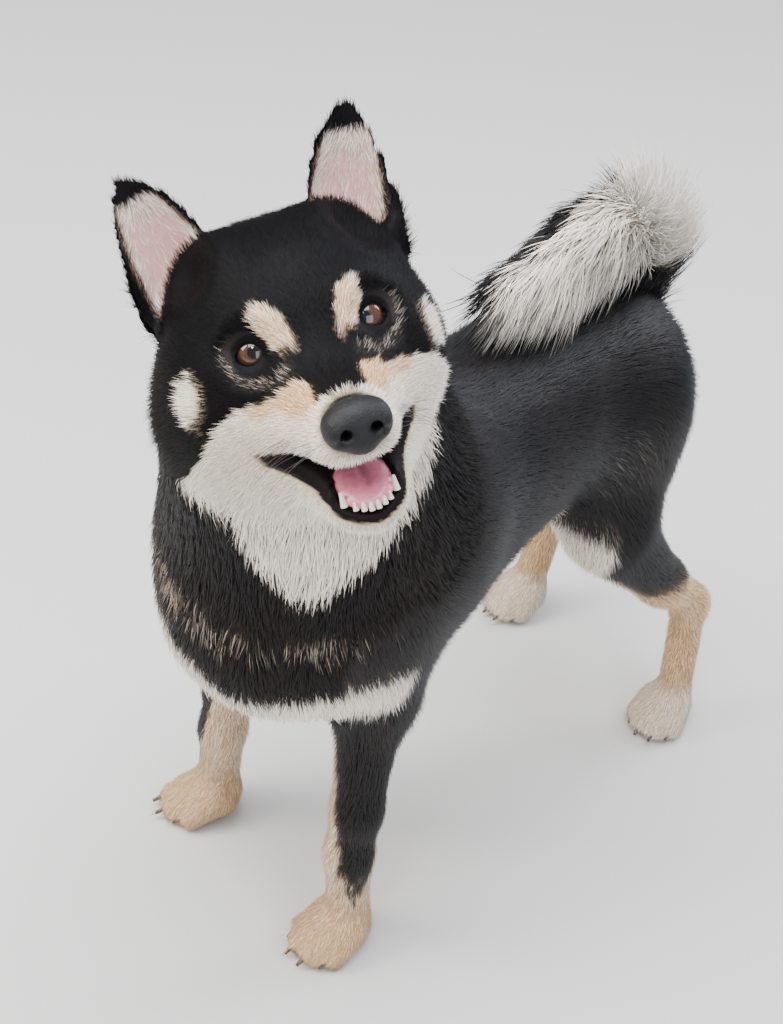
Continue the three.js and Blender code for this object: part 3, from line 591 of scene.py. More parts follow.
class Recipe:
    """A material under way: its node tree, its shader, and one way to add a node."""

    def __init__(self, name: str) -> None:
        """Starts a material with a Principled shader.

        Args:
            name: the material's name.
        """
        self.material = bpy.data.materials.new(name)
        self.material.use_nodes = True
        self.tree = self.material.node_tree
        self.shader = self.tree.nodes["Principled BSDF"]

    def add(self, kind: str, links: dict | None = None, **settings: object) -> bpy.types.Node:
        """Adds a node with its settings and links.

        Args:
            kind: the node's type.
            links: input names or numbers, with the socket or value that each takes.
            settings: the node's own properties.

        Returns:
            The node.
        """
        node = self.tree.nodes.new(kind)
        for key, value in settings.items():
            setattr(node, key, value)
        for key, value in (links or {}).items():
            socket = node.inputs[key]
            if isinstance(value, Socket):
                self.tree.links.new(value, socket)
            else:
                socket.default_value = value
        return node

    def set(self, **values: object) -> None:
        """Sets or links the shader's sockets, with underscores for the spaces in their names."""
        for key, value in values.items():
            socket = self.shader.inputs[key.replace("_", " ")]
            if isinstance(value, Socket):
                self.tree.links.new(value, socket)
            else:
                socket.default_value = value

    def blend(self, share: object, a: object, b: object, how: str = "MIX") -> Socket:
        """Mixes two colours."""
        links = {0: share, 6: a, 7: b}
        return self.add("ShaderNodeMix", links, data_type="RGBA", blend_type=how).outputs[2]

    def noise(self, size_mm: float, detail: float = 3.0, stretch: tuple = (1, 1, 1)) -> Socket:
        """A noise on Object coordinates with grains of a size in millimetres."""
        where = self.add("ShaderNodeTexCoord").outputs["Object"]
        scaled = self.add("ShaderNodeMapping", {0: where, 3: stretch}).outputs[0]
        links = {"Vector": scaled, "Scale": 1 / (size_mm * MM), "Detail": detail}
        return self.add("ShaderNodeTexNoise", links).outputs[0]

    def bump(self, height: object, depth_mm: float) -> Socket:
        """A bump of a depth in millimetres."""
        links = {"Height": height, "Distance": depth_mm * MM, "Strength": 1.0}
        return self.add("ShaderNodeBump", links).outputs[0]

    def channels(self, name: str) -> Sequence[Socket]:
        """The three channels of one of the mesh's colour attributes."""
        source = self.add("ShaderNodeAttribute", attribute_name=name).outputs[0]
        return self.add("ShaderNodeSeparateColor", {0: source}).outputs

    def ramp(self, value: object, start: float = 0.0, end: float = 1.0, low: float = 0.0, high: float = 1.0,
             ) -> Socket:
        """Takes a value from the range start to end to the range low to high."""
        return self.add("ShaderNodeMapRange", {0: value, 1: start, 2: end, 3: low, 4: high}).outputs[0]


@dataclass(frozen=True)
class CoatFinish:
    """Hair keratin: black, tan, cream and grey by the markings, paler or darker from hair to hair, and darker at the
    roots as painted shade.
    """

    name: str
    black: str = "0A0A0C"
    brown: str = "1C1512"
    tan: str = "DDB080"
    cream: str = "F8EEDF"
    grey: str = "A69A8C"
    rough: float = 0.5
    shine: float = 0.28
    sheen: float = 0.05

    def material(self) -> Material:
        """Builds the coat's material from the colour attributes mark and hair."""
        r = Recipe(self.name)
        tan, cream, grey = r.channels("mark")
        vary, along, warm = r.channels("hair")
        colour = r.blend(warm, linear(self.black), linear(self.brown))
        colour = r.blend(grey, colour, linear(self.grey))
        colour = r.blend(cream, colour, linear(self.cream))
        golden = r.blend(vary, linear(self.tan), linear("EFCFA4"))
        colour = r.blend(tan, colour, golden)
        # The first ramp is tone that differs from hair to hair. The second darkens each hair towards its root: painted
        # shade deep in the coat.
        links = {0: r.ramp(vary, low=0.76, high=1.25), 1: r.ramp(along, low=0.84, high=1.1)}
        both = r.add("ShaderNodeMath", links, operation="MULTIPLY").outputs[0]
        shade = r.add("ShaderNodeCombineColor", {0: both, 1: both, 2: both}).outputs[0]
        colour = r.blend(1.0, colour, shade, "MULTIPLY")
        r.set(Base_Color=colour, Roughness=self.rough, IOR=1.55, Specular_IOR_Level=self.shine)
        r.set(Sheen_Weight=self.sheen, Sheen_Roughness=0.45, Sheen_Tint=linear("AEB6C6"))
        return r.material


@dataclass(frozen=True)
class SkinFinish:
    """Skin below the coat: dusky under black hair, pinkish under cream, bare in the ears and mouth."""

    name: str = "dog_skin"

    def material(self) -> Material:
        """Builds the skin from the attributes mark and bare, with fine creases."""
        r = Recipe(self.name)
        tan, cream, grey = r.channels("mark")
        pink, dark, _ = r.channels("bare")
        fine = r.noise(1.6, 4)
        colour = r.blend(grey, linear("0D0C0E"), linear("3A3430"))
        colour = r.blend(cream, colour, linear("C9B49C"))
        colour = r.blend(tan, colour, linear("A87F58"))
        colour = r.blend(pink, colour, r.blend(fine, linear("D39A97"), linear("E6B8B0")))
        colour = r.blend(dark, colour, r.blend(fine, linear("080606"), linear("1C1214")))
        r.set(Base_Color=colour, Roughness=r.ramp(fine, low=0.45, high=0.65))
        r.set(Normal=r.bump(fine, 0.25), Specular_IOR_Level=0.08)
        return r.material


@dataclass(frozen=True)
class WetFinish:
    """Moist skin, such as nose leather, lips and tongue: two tones, a fine relief and a wet film."""

    name: str
    dark: str
    light: str
    grain_mm: float
    relief_mm: float
    rough: float
    film: float

    def material(self) -> Material:
        """Builds the moist skin."""
        r = Recipe(self.name)
        where = r.add("ShaderNodeTexCoord").outputs["Object"]
        links = {"Vector": where, "Scale": 1 / (self.grain_mm * MM)}
        cells = r.add("ShaderNodeTexVoronoi", links, feature="F1")
        soft = r.noise(self.grain_mm * 5, 3)
        colour = r.blend(soft, linear(self.dark), linear(self.light))
        r.set(Base_Color=colour, Normal=r.bump(cells.outputs[0], -self.relief_mm))
        r.set(Roughness=r.ramp(soft, low=self.rough * 0.8, high=self.rough * 1.25), IOR=1.4)
        r.set(Coat_Weight=self.film, Coat_Roughness=0.12, Subsurface_Weight=0.08, Subsurface_Scale=0.003)
        return r.material


@dataclass(frozen=True)
class HornFinish:
    """Claw horn or tooth enamel: a smooth two-tone grain under a slight gloss."""

    name: str
    dark: str
    light: str
    rough: float = 0.3

    def material(self) -> Material:
        """Builds the horn."""
        r = Recipe(self.name)
        grain = r.noise(2.2, 3, (1, 1, 0.3))
        r.set(Base_Color=r.blend(grain, linear(self.dark), linear(self.light)), Roughness=self.rough)
        r.set(Normal=r.bump(grain, 0.08), IOR=1.55)
        return r.material


@dataclass(frozen=True)
class EyeFinish:
    """A dog's brown eye: a black pupil, a streaked iris with a dark rim, and a wet cornea."""

    name: str
    centre: Vector
    gaze: Vector
    pupil: float = 0.29
    iris: float = 0.9

    def material(self) -> Material:
        """Builds the eye from the angle between each point and the line of sight."""
        r = Recipe(self.name)
        where = r.add("ShaderNodeTexCoord").outputs["Object"]
        links = {0: where, 1: tuple(self.centre)}
        out = r.add("ShaderNodeVectorMath", links, operation="SUBTRACT").outputs[0]
        out = r.add("ShaderNodeVectorMath", {0: out}, operation="NORMALIZE").outputs[0]
        links = {0: out, 1: tuple(self.gaze)}
        cosine = r.add("ShaderNodeVectorMath", links, operation="DOT_PRODUCT").outputs[1]
        square = r.add("ShaderNodeMath", {0: cosine, 1: cosine}, operation="MULTIPLY").outputs[0]
        links = {0: 1.0, 1: square}
        left = r.add("ShaderNodeMath", links, operation="SUBTRACT", use_clamp=True).outputs[0]
        sine = r.add("ShaderNodeMath", {0: left, 1: 0.5}, operation="POWER").outputs[0]
        streak = r.noise(1.1, 4)
        iris = r.blend(streak, linear("2E1B12"), linear("5E3B29"))
        colour = r.blend(r.ramp(sine, self.pupil, self.pupil + 0.05), linear("020202"), iris)
        colour = r.blend(r.ramp(sine, self.iris - 0.07, self.iris), colour, linear("0D0705"))
        colour = r.blend(r.ramp(sine, self.iris + 0.02, self.iris + 0.12), colour, linear("6B5B52"))
        r.set(Base_Color=colour, Roughness=0.12, IOR=1.38, Coat_Weight=1.0, Coat_Roughness=0.02)
        return r.material


# Mesh helpers


def piece_of(name: str, bm: bmesh.types.BMesh, finish: Material) -> Thing:
    """Turns a bmesh into an object in the scene.

    Args:
        name: the piece's name.
        bm: its shape in metres, freed here.
        finish: its material.

    Returns:
        The object.
    """
    bmesh.ops.recalc_face_normals(bm, faces=bm.faces)
    mesh = bpy.data.meshes.new(name)
    bm.to_mesh(mesh)
    bm.free()
    mesh.materials.append(finish)
    mesh.polygons.foreach_set("use_smooth", [True] * len(mesh.polygons))
    thing = bpy.data.objects.new(name, mesh)
    bpy.context.scene.collection.objects.link(thing)
    return thing


def node_copy(*names: str, swell: float = 0.0) -> bmesh.types.BMesh:
    """Copies CAD nodes into one bmesh with their corners merged.

    Args:
        names: the nodes.
        swell: how far each is grown along its normals, in metres.

    Returns:
        The bmesh.
    """
    whole = bmesh.new()
    for name in names:
        part = bmesh.new()
        part.from_mesh(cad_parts[name].data)
        bmesh.ops.remove_doubles(part, verts=part.verts, dist=2e-6)
        part.normal_update()
        for vert in part.verts:
            vert.co += vert.normal * swell
        spare = bpy.data.meshes.new("spare")
        part.to_mesh(spare)
        part.free()
        whole.from_mesh(spare)
        bpy.data.meshes.remove(spare)
    return whole


def modified(thing: Thing, kind: str, **settings: object) -> None:
    """Adds a modifier to an object and applies it."""
    tool = thing.modifiers.new(kind.lower(), kind)
    for key, value in settings.items():
        setattr(tool, key, value)
    graph = bpy.context.evaluated_depsgraph_get()
    mesh = bpy.data.meshes.new_from_object(thing.evaluated_get(graph))
    old = thing.data
    thing.modifiers.clear()
    thing.data = mesh
    bpy.data.meshes.remove(old)


def tube(bm: bmesh.types.BMesh, line: Sequence[Vector], radius: Callable[[float], float], sides: int = 8,
         closed: bool = False, flat: float = 1.0) -> None:
    """Sweeps a ring along a line of points.

    Args:
        bm: where it goes.
        line: the points in metres.
        radius: the radius at each share of the length.
        sides: corners of the ring.
        closed: whether the line is a loop.
        flat: height of the ring as a share of its width.
    """
    rings = []
    count = len(line)
    for i, at in enumerate(line):
        ahead = line[(i + 1) % count] if closed or i < count - 1 else at
        behind = line[i - 1] if closed or i > 0 else at
        turn = (ahead - behind).to_track_quat("Z", "Y").to_matrix().to_4x4()
        r = max(radius(i / (count - 1)), 1e-5)
        place = Matrix.Translation(at) @ turn @ Matrix.Diagonal((1, flat, 1, 1))
        made = bmesh.ops.create_circle(bm, segments=sides, radius=r, matrix=place)
        rings.append(made["verts"])
    for a, b in zip(rings, rings[1:] + ([rings[0]] if closed else [])):
        edges = [e for ring in (a, b) for v in ring for e in v.link_edges if all(w in ring for w in e.verts)]
        bmesh.ops.bridge_loops(bm, edges=list(set(edges)))
    if not closed:
        for ring in (rings[0], rings[-1]):
            bmesh.ops.contextual_create(bm, geom=ring)


# The skin


@dataclass
class Skin:
    """One closed skin over the whole dog, as far below the hair tips as the coat is deep."""

    voxel: float = 0.0024
    tail_radius: tuple = (17.0, 15.0, 5.0)
    thing: Thing | None = None
    points: Array | None = None
    normals: Array | None = None

    def build(self) -> None:
        """Grows the skin from the flesh nodes and lays the coat's depth off it."""
        bm = node_copy(*FLESH_NODES, "eye_left", "eye_right", swell=0.00025)
        for at, size in EARS.roots:
            place = Matrix.Translation(head_to_frame(at)) @ HEAD.to_3x3().to_4x4()
            bmesh.ops.create_icosphere(bm, subdivisions=3, radius=MM, matrix=place @ Matrix.Diagonal((*size, 1)))
        line = tail_line(14)
        a, b, c = self.tail_radius
        tube(bm, [to_frame(p) for p in line], lambda t: (a + (b - a) * t if t < 0.7 else b + (c - b) * (t - 0.7) / 0.3) * MM, 12)
        self.thing = piece_of("skin", bm, SkinFinish().material())
        modified(self.thing, "REMESH", mode="VOXEL", voxel_size=self.voxel, use_smooth_shade=True)
        self.relax()
        self.inset()
        self.open_eyes()
        self.read()
        for name in FLESH_NODES + ("tail",):
            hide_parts(name)
        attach(self.thing, "root")
        LOG.info("skin: %d faces", len(self.thing.data.polygons))

    def relax(self) -> None:
        """Smooths the facets away, more on the body than on the face and ears."""
        thing = self.thing
        p = to_dog(coordinates(thing.data))
        h = to_head(p)
        near = step(96, 120, np.linalg.norm(h - np.array([0, 20, 0]), axis=1))
        paws = step(40, 60, p[:, 2])
        ear, _, _ = ear_place(h)
        weight = np.clip(near * paws, 0.12, 1) * (1 - 0.8 * ear)
        group = thing.vertex_groups.new(name="relax")
        for level in np.unique(np.round(weight, 1)):
            group.add(np.nonzero(np.round(weight, 1) == level)[0].tolist(), float(level), "REPLACE")
        modified(thing, "SMOOTH", factor=0.5, iterations=22, vertex_group="relax")
        q = np.stack([np.abs(h[:, 0]) - np.where(h[:, 0] < 0, EARS.splay, 0), h[:, 1], h[:, 2]], 1)
        off = EARS.read(h)[4]
        dimple = hill(q, EARS.hollow_at, tuple(1.25 * v for v in EARS.hollow), 0.25) * step(6, 14, np.abs(off))
        group = thing.vertex_groups.new(name="dimple")
        group.add(np.nonzero(dimple > 0.4)[0].tolist(), 1.0, "REPLACE")
        modified(thing, "SMOOTH", factor=0.5, iterations=140, vertex_group="dimple")

    def inset(self) -> None:
        """Moves the skin inwards by the coat's depth."""
        mesh = self.thing.data
        at, normal = coordinates(mesh), normals_of(mesh)
        _, _, pelt = ANATOMY.read(to_dog(at), normal)
        depth = np.minimum(pelt[:, 4], 9.0)
        tail = near_tail(to_dog(at))
        depth *= 1 - tail
        mouth, lip = mouth_place(to_head(to_dog(at)))
        depth *= 1 - np.maximum(mouth, lip * 0.7)
        mesh.vertices.foreach_set("co", (at - normal * depth[:, None] * MM).ravel())
        mesh.update()
        modified(self.thing, "SMOOTH", factor=0.4, iterations=2)

    def open_eyes(self) -> None:
        """Sinks the skin behind each eyeball inside the almond of its lids."""
        mesh = self.thing.data
        bm = bmesh.new()
        bm.from_mesh(mesh)
        for side in (1, -1):
            centre = head_to_frame((side * POSE.eye_out, 0, 0))
            near = [v for v in bm.verts if (v.co - centre).length < 0.023]
            edges = {e for v in near for e in v.link_edges}
            bmesh.ops.subdivide_edges(bm, edges=list(edges), cuts=2, smooth=0.4, use_grid_fill=True)
        bmesh.ops.triangulate(bm, faces=[f for f in bm.faces if len(f.verts) > 4])
        bm.to_mesh(mesh)
        bm.free()
        h = to_head(to_dog(coordinates(mesh)))
        for side in (1, -1):
            eye = Eye(side)
            local = moved(h, eye.place().inverted())
            away = np.linalg.norm(local, axis=1)
            near = (away < 26) & (local[:, 1] < 2)
            opening = eye.inside(local)
            sink = near & (opening > 0)
            reach = np.where(away > 0, np.minimum(away, eye.radius - 2.2) / np.maximum(away, 1e-6), 1)
            local[sink] *= reach[sink][:, None]
            lids = near & ~sink
            least = eye.radius + 1.2
            most = least + 0.2 + 4.5 * np.clip(-opening, 0, None)
            lift = np.where(lids, np.clip(away, least, most) / np.maximum(away, 1e-6), 1)
            local[lids] *= lift[lids][:, None]
            h = np.where(near[:, None], moved(local, eye.place()), h)
        world = (moved(h, HEAD) + np.array(SHIFT)) * MM
        mesh.vertices.foreach_set("co", world.astype(np.float32).ravel())
        mesh.update()

    def read(self) -> None:
        """Lays the markings on the skin as attributes, and unwraps it."""
        mesh = self.thing.data
        self.points, self.normals = coordinates(mesh), normals_of(mesh)
        p = to_dog(self.points)
        marks = MARKINGS.paint(p, self.normals)
        tail_paint(p, marks)
        colour(mesh, "mark", marks["tan"], marks["cream"], marks["grey"])
        colour(mesh, "bare", marks["pink"], marks["dark"], marks["grey"] * 0)
        loops = np.zeros(len(mesh.loops), int)
        mesh.loops.foreach_get("vertex_index", loops)
        layer = mesh.uv_layers.new(name="OFBake")
        layer.data.foreach_set("uv", unwrap(p, self.normals).astype(np.float32)[loops].ravel())


def coordinates(mesh: bpy.types.Mesh) -> Array:
    """A mesh's vertices as an array."""
    out = np.zeros(len(mesh.vertices) * 3, np.float32)
    mesh.vertices.foreach_get("co", out)
    return out.reshape(-1, 3).astype(float)


def normals_of(mesh: bpy.types.Mesh) -> Array:
    """A mesh's vertex normals as an array."""
    out = np.zeros(len(mesh.vertices) * 3, np.float32)
    mesh.vertex_normals.foreach_get("vector", out)
    return out.reshape(-1, 3).astype(float)


def colour(mesh: bpy.types.Mesh, name: str, *channels: Array) -> None:
    """Stores three channels as a colour on each vertex."""
    data = np.ones((len(mesh.vertices), 4), np.float32)
    for i, channel in enumerate(channels):
        data[:, i] = channel
    mesh.color_attributes.new(name, "FLOAT_COLOR", "POINT").data.foreach_set("color", data.ravel())


def unwrap(p: Array, n: Array) -> Array:
    """Lays points of the skin on a flat map: a square for each part of the dog and each way that it faces.

    Args:
        p: points in the dog's millimetres.
        n: the skin's normals.

    Returns:
        Places from 0 to 1.
    """
    _, region, _ = ANATOMY.read(p, n)
    region = np.where(near_tail(p) > 0.5, Region.TAIL.value, region)
    side = (p[:, 0] > -14).astype(int)
    facing = np.abs(n).argmax(1)
    way = facing * 2 + (np.take_along_axis(n, facing[:, None], 1)[:, 0] > 0)
    back = (p[:, 1] > 0).astype(int)
    cell = ((region * 2 + side) * 2 + back) * 6 + way
    spread = (p + np.array([160, 320, 20])) / 680.0
    flat = np.where(facing[:, None] == 0, spread[:, [1, 2]], np.where(facing[:, None] == 1, spread[:, [0, 2]], spread[:, [0, 1]]))
    columns = 16
    corner = np.stack([cell % columns, cell // columns], 1)
    return np.clip((corner + 0.04 + 0.92 * np.clip(flat, 0, 1)) / columns, 0, 1)


def tail_line(count: int) -> list[tuple]:
    """Points along the tail's smooth middle line, in the dog's millimetres."""
    keys = [Vector(p) for p in POSE.tail]
    out = []
    for i in range(len(keys) - 1):
        a, b = keys[i], keys[i + 1]
        before = keys[i - 1] if i else a
        after = keys[i + 2] if i + 2 < len(keys) else b
        out += interpolate_bezier(a, a + (b - before) / 6, b - (after - a) / 6, b, 9)[:-1]
    out.append(keys[-1])
    picks = np.linspace(0, len(out) - 1, count)
    return [tuple(out[int(round(i))]) for i in picks]


TAIL_POINTS = np.array(tail_line(49))


def tail_frame(p: Array) -> tuple[Array, Array, Array]:
    """How far points are from the tail's line, where along it, and its direction there."""
    away = np.full(len(p), 1e9)
    where = np.zeros(len(p))
    way = np.zeros((len(p), 3))
    for i in range(len(TAIL_POINTS) - 1):
        a, b = TAIL_POINTS[i], TAIL_POINTS[i + 1]
        t = np.clip((p - a) @ (b - a) / ((b - a) @ (b - a)), 0, 1)
        d = np.linalg.norm(p - a - t[:, None] * (b - a), axis=1)
        better = d < away
        away = np.where(better, d, away)
        where = np.where(better, (i + t) / (len(TAIL_POINTS) - 1), where)
        way[better] = (b - a) / np.linalg.norm(b - a)
    return away, where, way


def near_tail(p: Array) -> Array:
    """One on the tail's own skin, 0 off it."""
    away, where, _ = tail_frame(p)
    return step(26, 20, away) * step(0.1, 0.22, where)


def tail_outside(p: Array) -> Array:
    """How much points face the tail's pale under side, which turns from the rear to the dog's left, from -1 to 1."""
    _, where, way = tail_frame(p)
    at = [0, 0.3, 0.55, 0.8, 1]
    keys = np.array([(0, 1, 0), (0.3, 0.9, 0.3), (0.9, 0.3, 0.35), (0.95, 0.1, 0.0), (0.93, 0.1, -0.3)])
    out = np.stack([np.interp(where, at, keys[:, k]) for k in range(3)], 1)
    out -= way * np.einsum("nk,nk->n", out, way)[:, None]
    out /= np.linalg.norm(out, axis=1)[:, None]
    i = np.clip(where * (len(TAIL_POINTS) - 1), 0, len(TAIL_POINTS) - 1.001)
    low = i.astype(int)
    centre = TAIL_POINTS[low] + (TAIL_POINTS[low + 1] - TAIL_POINTS[low]) * (i - low)[:, None]
    rel = p - centre
    rel /= np.maximum(np.linalg.norm(rel, axis=1), 1e-6)[:, None]
    return np.einsum("nk,nk->n", rel, out)


def tail_paint(p: Array, marks: dict[str, Array]) -> None:
    """Adds the tail's own markings: cream outside the curl, black inside it and at the tip."""
    on = near_tail(p)
    _, where, _ = tail_frame(p)
    out = tail_outside(p)
    pale = step(0.0, 0.35, out + ripple(p, 20, 5) * 0.15) * step(0.24, 0.4, where) * step(1.0, 0.93, where)
    for name in ("tan", "cream", "grey"):
        marks[name] = marks[name] * (1 - on)
    marks["cream"] = np.maximum(marks["cream"], on * pale)
    marks["tan"] = np.maximum(marks["tan"], on * pale * 0.18 * step(0.5, 0.1, out))


# The coat


@dataclass
class Coat:
    """The hair: thin tapered tufts rooted in the skin, each a closed mesh, in pieces by part of the dog."""

    skin: Skin
    seed: int = 7

    def build(self) -> None:
        """Grows every piece of the coat."""
        rng = np.random.default_rng(self.seed)
        root, normal = self.scatter(rng)
        p = to_dog(root)
        lie, region, pelt = ANATOMY.read(p, normal)
        marks = MARKINGS.paint(p, normal)
        tail = near_tail(p) > 0.5
        marks_tail = {k: v.copy() for k, v in marks.items()}
        tail_paint(p, marks_tail)
        inner = marks["inner"]
        bare = marks["dark"] > 0.35
        bare |= self.on_eye(p) | self.on_nose(p) | (p[:, 2] < 2.0)
        bare |= (inner > 0.5) & (rng.uniform(size=len(p)) < np.clip(marks["pink"] * 1.1 - 0.15, 0, 0.85))
        keep = ~bare
        kinds = {
            "coat_head": (Region.FACE, Region.CROWN, Region.EAR, Region.CHEEK),
            "coat_neck": (Region.NECK,),
            "coat_body": (Region.TORSO,),
            "coat_thighs": (Region.THIGH,),
            "coat_legs": (Region.LEG, Region.PAW),
        }
        groups = {k: keep & ~tail & np.isin(region, [r.value for r in v]) for k, v in kinds.items()}
        groups["coat_tail"] = keep & tail
        finish = CoatFinish("hair").material()
        finishes = {
            "coat_head": CoatFinish("short_hair", shine=0.07, sheen=0.0).material(),
            "coat_neck": CoatFinish("ruff_hair", shine=0.11, sheen=0.015).material(),
        }
        for name, chosen in groups.items():
            where = np.nonzero(chosen)[0]
            faces = {"coat_tail": 16, "coat_neck": 10}.get(name, 4)
            most = PIECE_TRIANGLES // faces
            for part, rows in enumerate(np.array_split(where, max(1, math.ceil(len(where) / most)))):
                label = name if len(where) <= most else f"{name}_{part + 1}"
                marked = marks_tail if name == "coat_tail" else marks
                grown = self.grow(label, root[rows], normal[rows], lie[rows], pelt[rows],
                                  {k: v[rows] for k, v in marked.items()}, rng, faces, finishes.get(name, finish))
                LOG.info("%s: %d tufts, %d triangles", grown.name, len(rows), len(grown.data.polygons))

    def scatter(self, rng: np.random.Generator) -> tuple[Array, Array]:
        """Picks the roots, as close together as each region's spacing asks.

        Args:
            rng: the random numbers.

        Returns:
            The roots and the skin's normals there.
        """
        mesh = self.skin.thing.data
        mesh.calc_loop_triangles()
        tri = np.zeros(len(mesh.loop_triangles) * 3, np.int32)
        mesh.loop_triangles.foreach_get("vertices", tri)
        tri = tri.reshape(-1, 3)
        v, n = self.skin.points, self.skin.normals
        a, b, c = v[tri[:, 0]], v[tri[:, 1]], v[tri[:, 2]]
        middle = (a + b + c) / 3
        flat = n[tri].mean(1)
        _, _, pelt = ANATOMY.read(to_dog(middle), flat)
        spacing = pelt[:, 3]
        tail = near_tail(to_dog(middle)) > 0.5
        spacing = np.where(tail, PELTS[Region.TAIL].spacing, spacing)
        hidden = step(-0.5, -0.95, flat[:, 2]) * (to_dog(middle)[:, 2] > 150)
        spacing = spacing * (1 + 0.35 * hidden)
        area = np.linalg.norm(np.cross(b - a, c - a), axis=1) / 2 / MM**2
        expect = area / spacing**2
        count = np.floor(expect + rng.uniform(size=len(expect))).astype(int)
        pick = np.repeat(np.arange(len(tri)), count)
        r1, r2 = np.sqrt(rng.uniform(size=len(pick))), rng.uniform(size=len(pick))
        w = np.stack([1 - r1, r1 * (1 - r2), r1 * r2], 1)
        root = np.einsum("nk,nkj->nj", w, v[tri[pick]])
        normal = np.einsum("nk,nkj->nj", w, n[tri[pick]])
        normal /= np.linalg.norm(normal, axis=1)[:, None]
        return root, normal

    def on_eye(self, p: Array) -> Array:
        """Whether points are in an eye's opening or on its rims."""
        h = to_head(p)
        out = np.zeros(len(p), bool)
        for side in (1, -1):
            eye = Eye(side)
            local = moved(h, eye.place().inverted())
            out |= (np.linalg.norm(local, axis=1) < 24) & (eye.inside(local, 1.2) > 0) & (local[:, 1] < 0)
        return out

    def on_nose(self, p: Array) -> Array:
        """Whether points are beneath the nose leather."""
        h = to_head(p)
        return (np.linalg.norm((h - np.array([0, -74, -35])) / np.array([17, 15, 12.5]), axis=1) < 1.0)

    def grow(self, name: str, root: Array, normal: Array, lie: Array, pelt: Array, marks: dict, rng: np.random.Generator,
             faces: int, finish: Material) -> Thing:
        """Makes one piece of the coat.

        Args:
            name: the piece's name.
            root: the roots in metres.
            normal: the skin's normals there.
            lie: the lie of the hair there.
            pelt: length, width, rise, spacing and depth, a row for each root.
            marks: the markings at the roots.
            rng: the random numbers.
            faces: triangles of one tuft: 4, 10 or 16.
            finish: the material.

        Returns:
            The piece.
        """
        count = len(root)
        p = to_dog(root)
        tail = name.startswith("coat_tail")
        length = pelt[:, 0] * rng.uniform(0.72, 1.2, count)
        width = pelt[:, 1] * rng.uniform(0.75, 1.25, count)
        rise = np.radians(pelt[:, 2] * rng.uniform(0.6, 1.4, count))
        h = to_head(p)
        inner = marks["inner"]
        length = length * (1 + inner * 0.45)
        rise = rise + inner * np.radians(22)
        if tail:
            _, where, way = tail_frame(p)
            out = tail_outside(p)
            lie = way - normal * np.einsum("nk,nk->n", way, normal)[:, None]
            lie /= np.maximum(np.linalg.norm(lie, axis=1), 1e-6)[:, None]
            length = np.interp(where, [0.1, 0.3, 0.5, 0.85, 1.0], [18, 36, 52, 50, 38]) * rng.uniform(0.7, 1.15, count)
            length *= 0.82 + 0.22 * out
            rise = np.radians(np.interp(out, [-1, 1], [24, 36]) * rng.uniform(0.7, 1.25, count))
            peak = step(0.2, 0.34, where) * step(0.62, 0.46, where) * step(-0.2, 0.4, out)
            rise = rise + 0.36 * peak
            length = length * (1 + 0.22 * peak)
            lie = lie + np.array([0.12, 0, -0.32]) * step(0.3, 0.6, where)[:, None]
            lie /= np.linalg.norm(lie, axis=1)[:, None]
            width = np.full(count, PELTS[Region.TAIL].width) * rng.uniform(0.7, 1.2, count)
        stray = rng.uniform(size=count) < 0.02
        rise = np.where(stray, rise + 0.18, rise)
        swing = rng.normal(0, 0.13, count) + 0.22 * ripple(p, 24, 9)
        side = np.cross(normal, lie)
        lie = lie * np.cos(swing)[:, None] + side * np.sin(swing)[:, None]
        side = unit(np.cross(normal, lie))
        levels = {4: (0.0,), 10: (0.0, 0.5), 16: (0.0, 0.36, 0.7)}[faces]
        rows = []
        reach = np.zeros((count, 3))
        last = -0.06
        spots = []
        turns = []
        for share in (*levels, 1.0):
            bend = rise * (1.25 - 0.75 * share if tail else 1.45 - 1.15 * share if faces > 4 else 1.0)
            way = lie * np.cos(bend)[:, None] + normal * np.sin(bend)[:, None]
            reach = reach + way * ((share - last) * length)[:, None] * MM
            spots.append(root - normal * 0.0004 + reach)
            turns.append(way)
            last = share
        for level, share in enumerate(levels):
            up = np.cross(side, turns[level])
            wide = width * (1.0 if share == 0 else 1.12 - 0.55 * share) * MM * 0.5
            for angle in (0.5, 0.5 + 2 / 3, 0.5 + 4 / 3):
                c, s = math.cos(angle * math.pi), math.sin(angle * math.pi)
                rows.append(spots[level] + side * (wide * c)[:, None] + up * (wide * s * 0.55)[:, None])
        rows.append(spots[-1])
        corners = np.stack(rows, 1)
        corners[:, :, 2] = np.maximum(corners[:, :, 2], FLOOR)
        per = corners.shape[1]
        shape = [(0, 1, 2)]
        for level in range(len(levels) - 1):
            q = 3 * level
            for i in range(3):
                j = (i + 1) % 3
                shape += [(q + i, q + 3 + i, q + j), (q + j, q + 3 + i, q + 3 + j)]
        q = 3 * (len(levels) - 1)
        shape += [(q, per - 1, q + 1), (q + 1, per - 1, q + 2), (q + 2, per - 1, q)]
        shape = np.array(shape)
        tri = (shape[None] + (np.arange(count) * per)[:, None, None]).reshape(-1, 3)
        mesh = bpy.data.meshes.new(name)
        mesh.vertices.add(count * per)
        mesh.vertices.foreach_set("co", corners.astype(np.float32).ravel())
        mesh.loops.add(tri.size)
        mesh.loops.foreach_set("vertex_index", tri.astype(np.int32).ravel())
        mesh.polygons.add(len(tri))
        mesh.polygons.foreach_set("loop_start", np.arange(0, tri.size, 3, dtype=np.int32))
        mesh.update(calc_edges=True)
        mesh.polygons.foreach_set("use_smooth", np.ones(len(tri), bool))
        soft = rng.uniform(0, 1, count)
        tan, cream, grey = (self.choose(marks[k], rng) for k in ("tan", "cream", "grey"))
        grey = np.where(rng.uniform(size=count) < 0.55, grey, 0)

        def spread(values: Array) -> Array:
            return np.repeat(values, per)

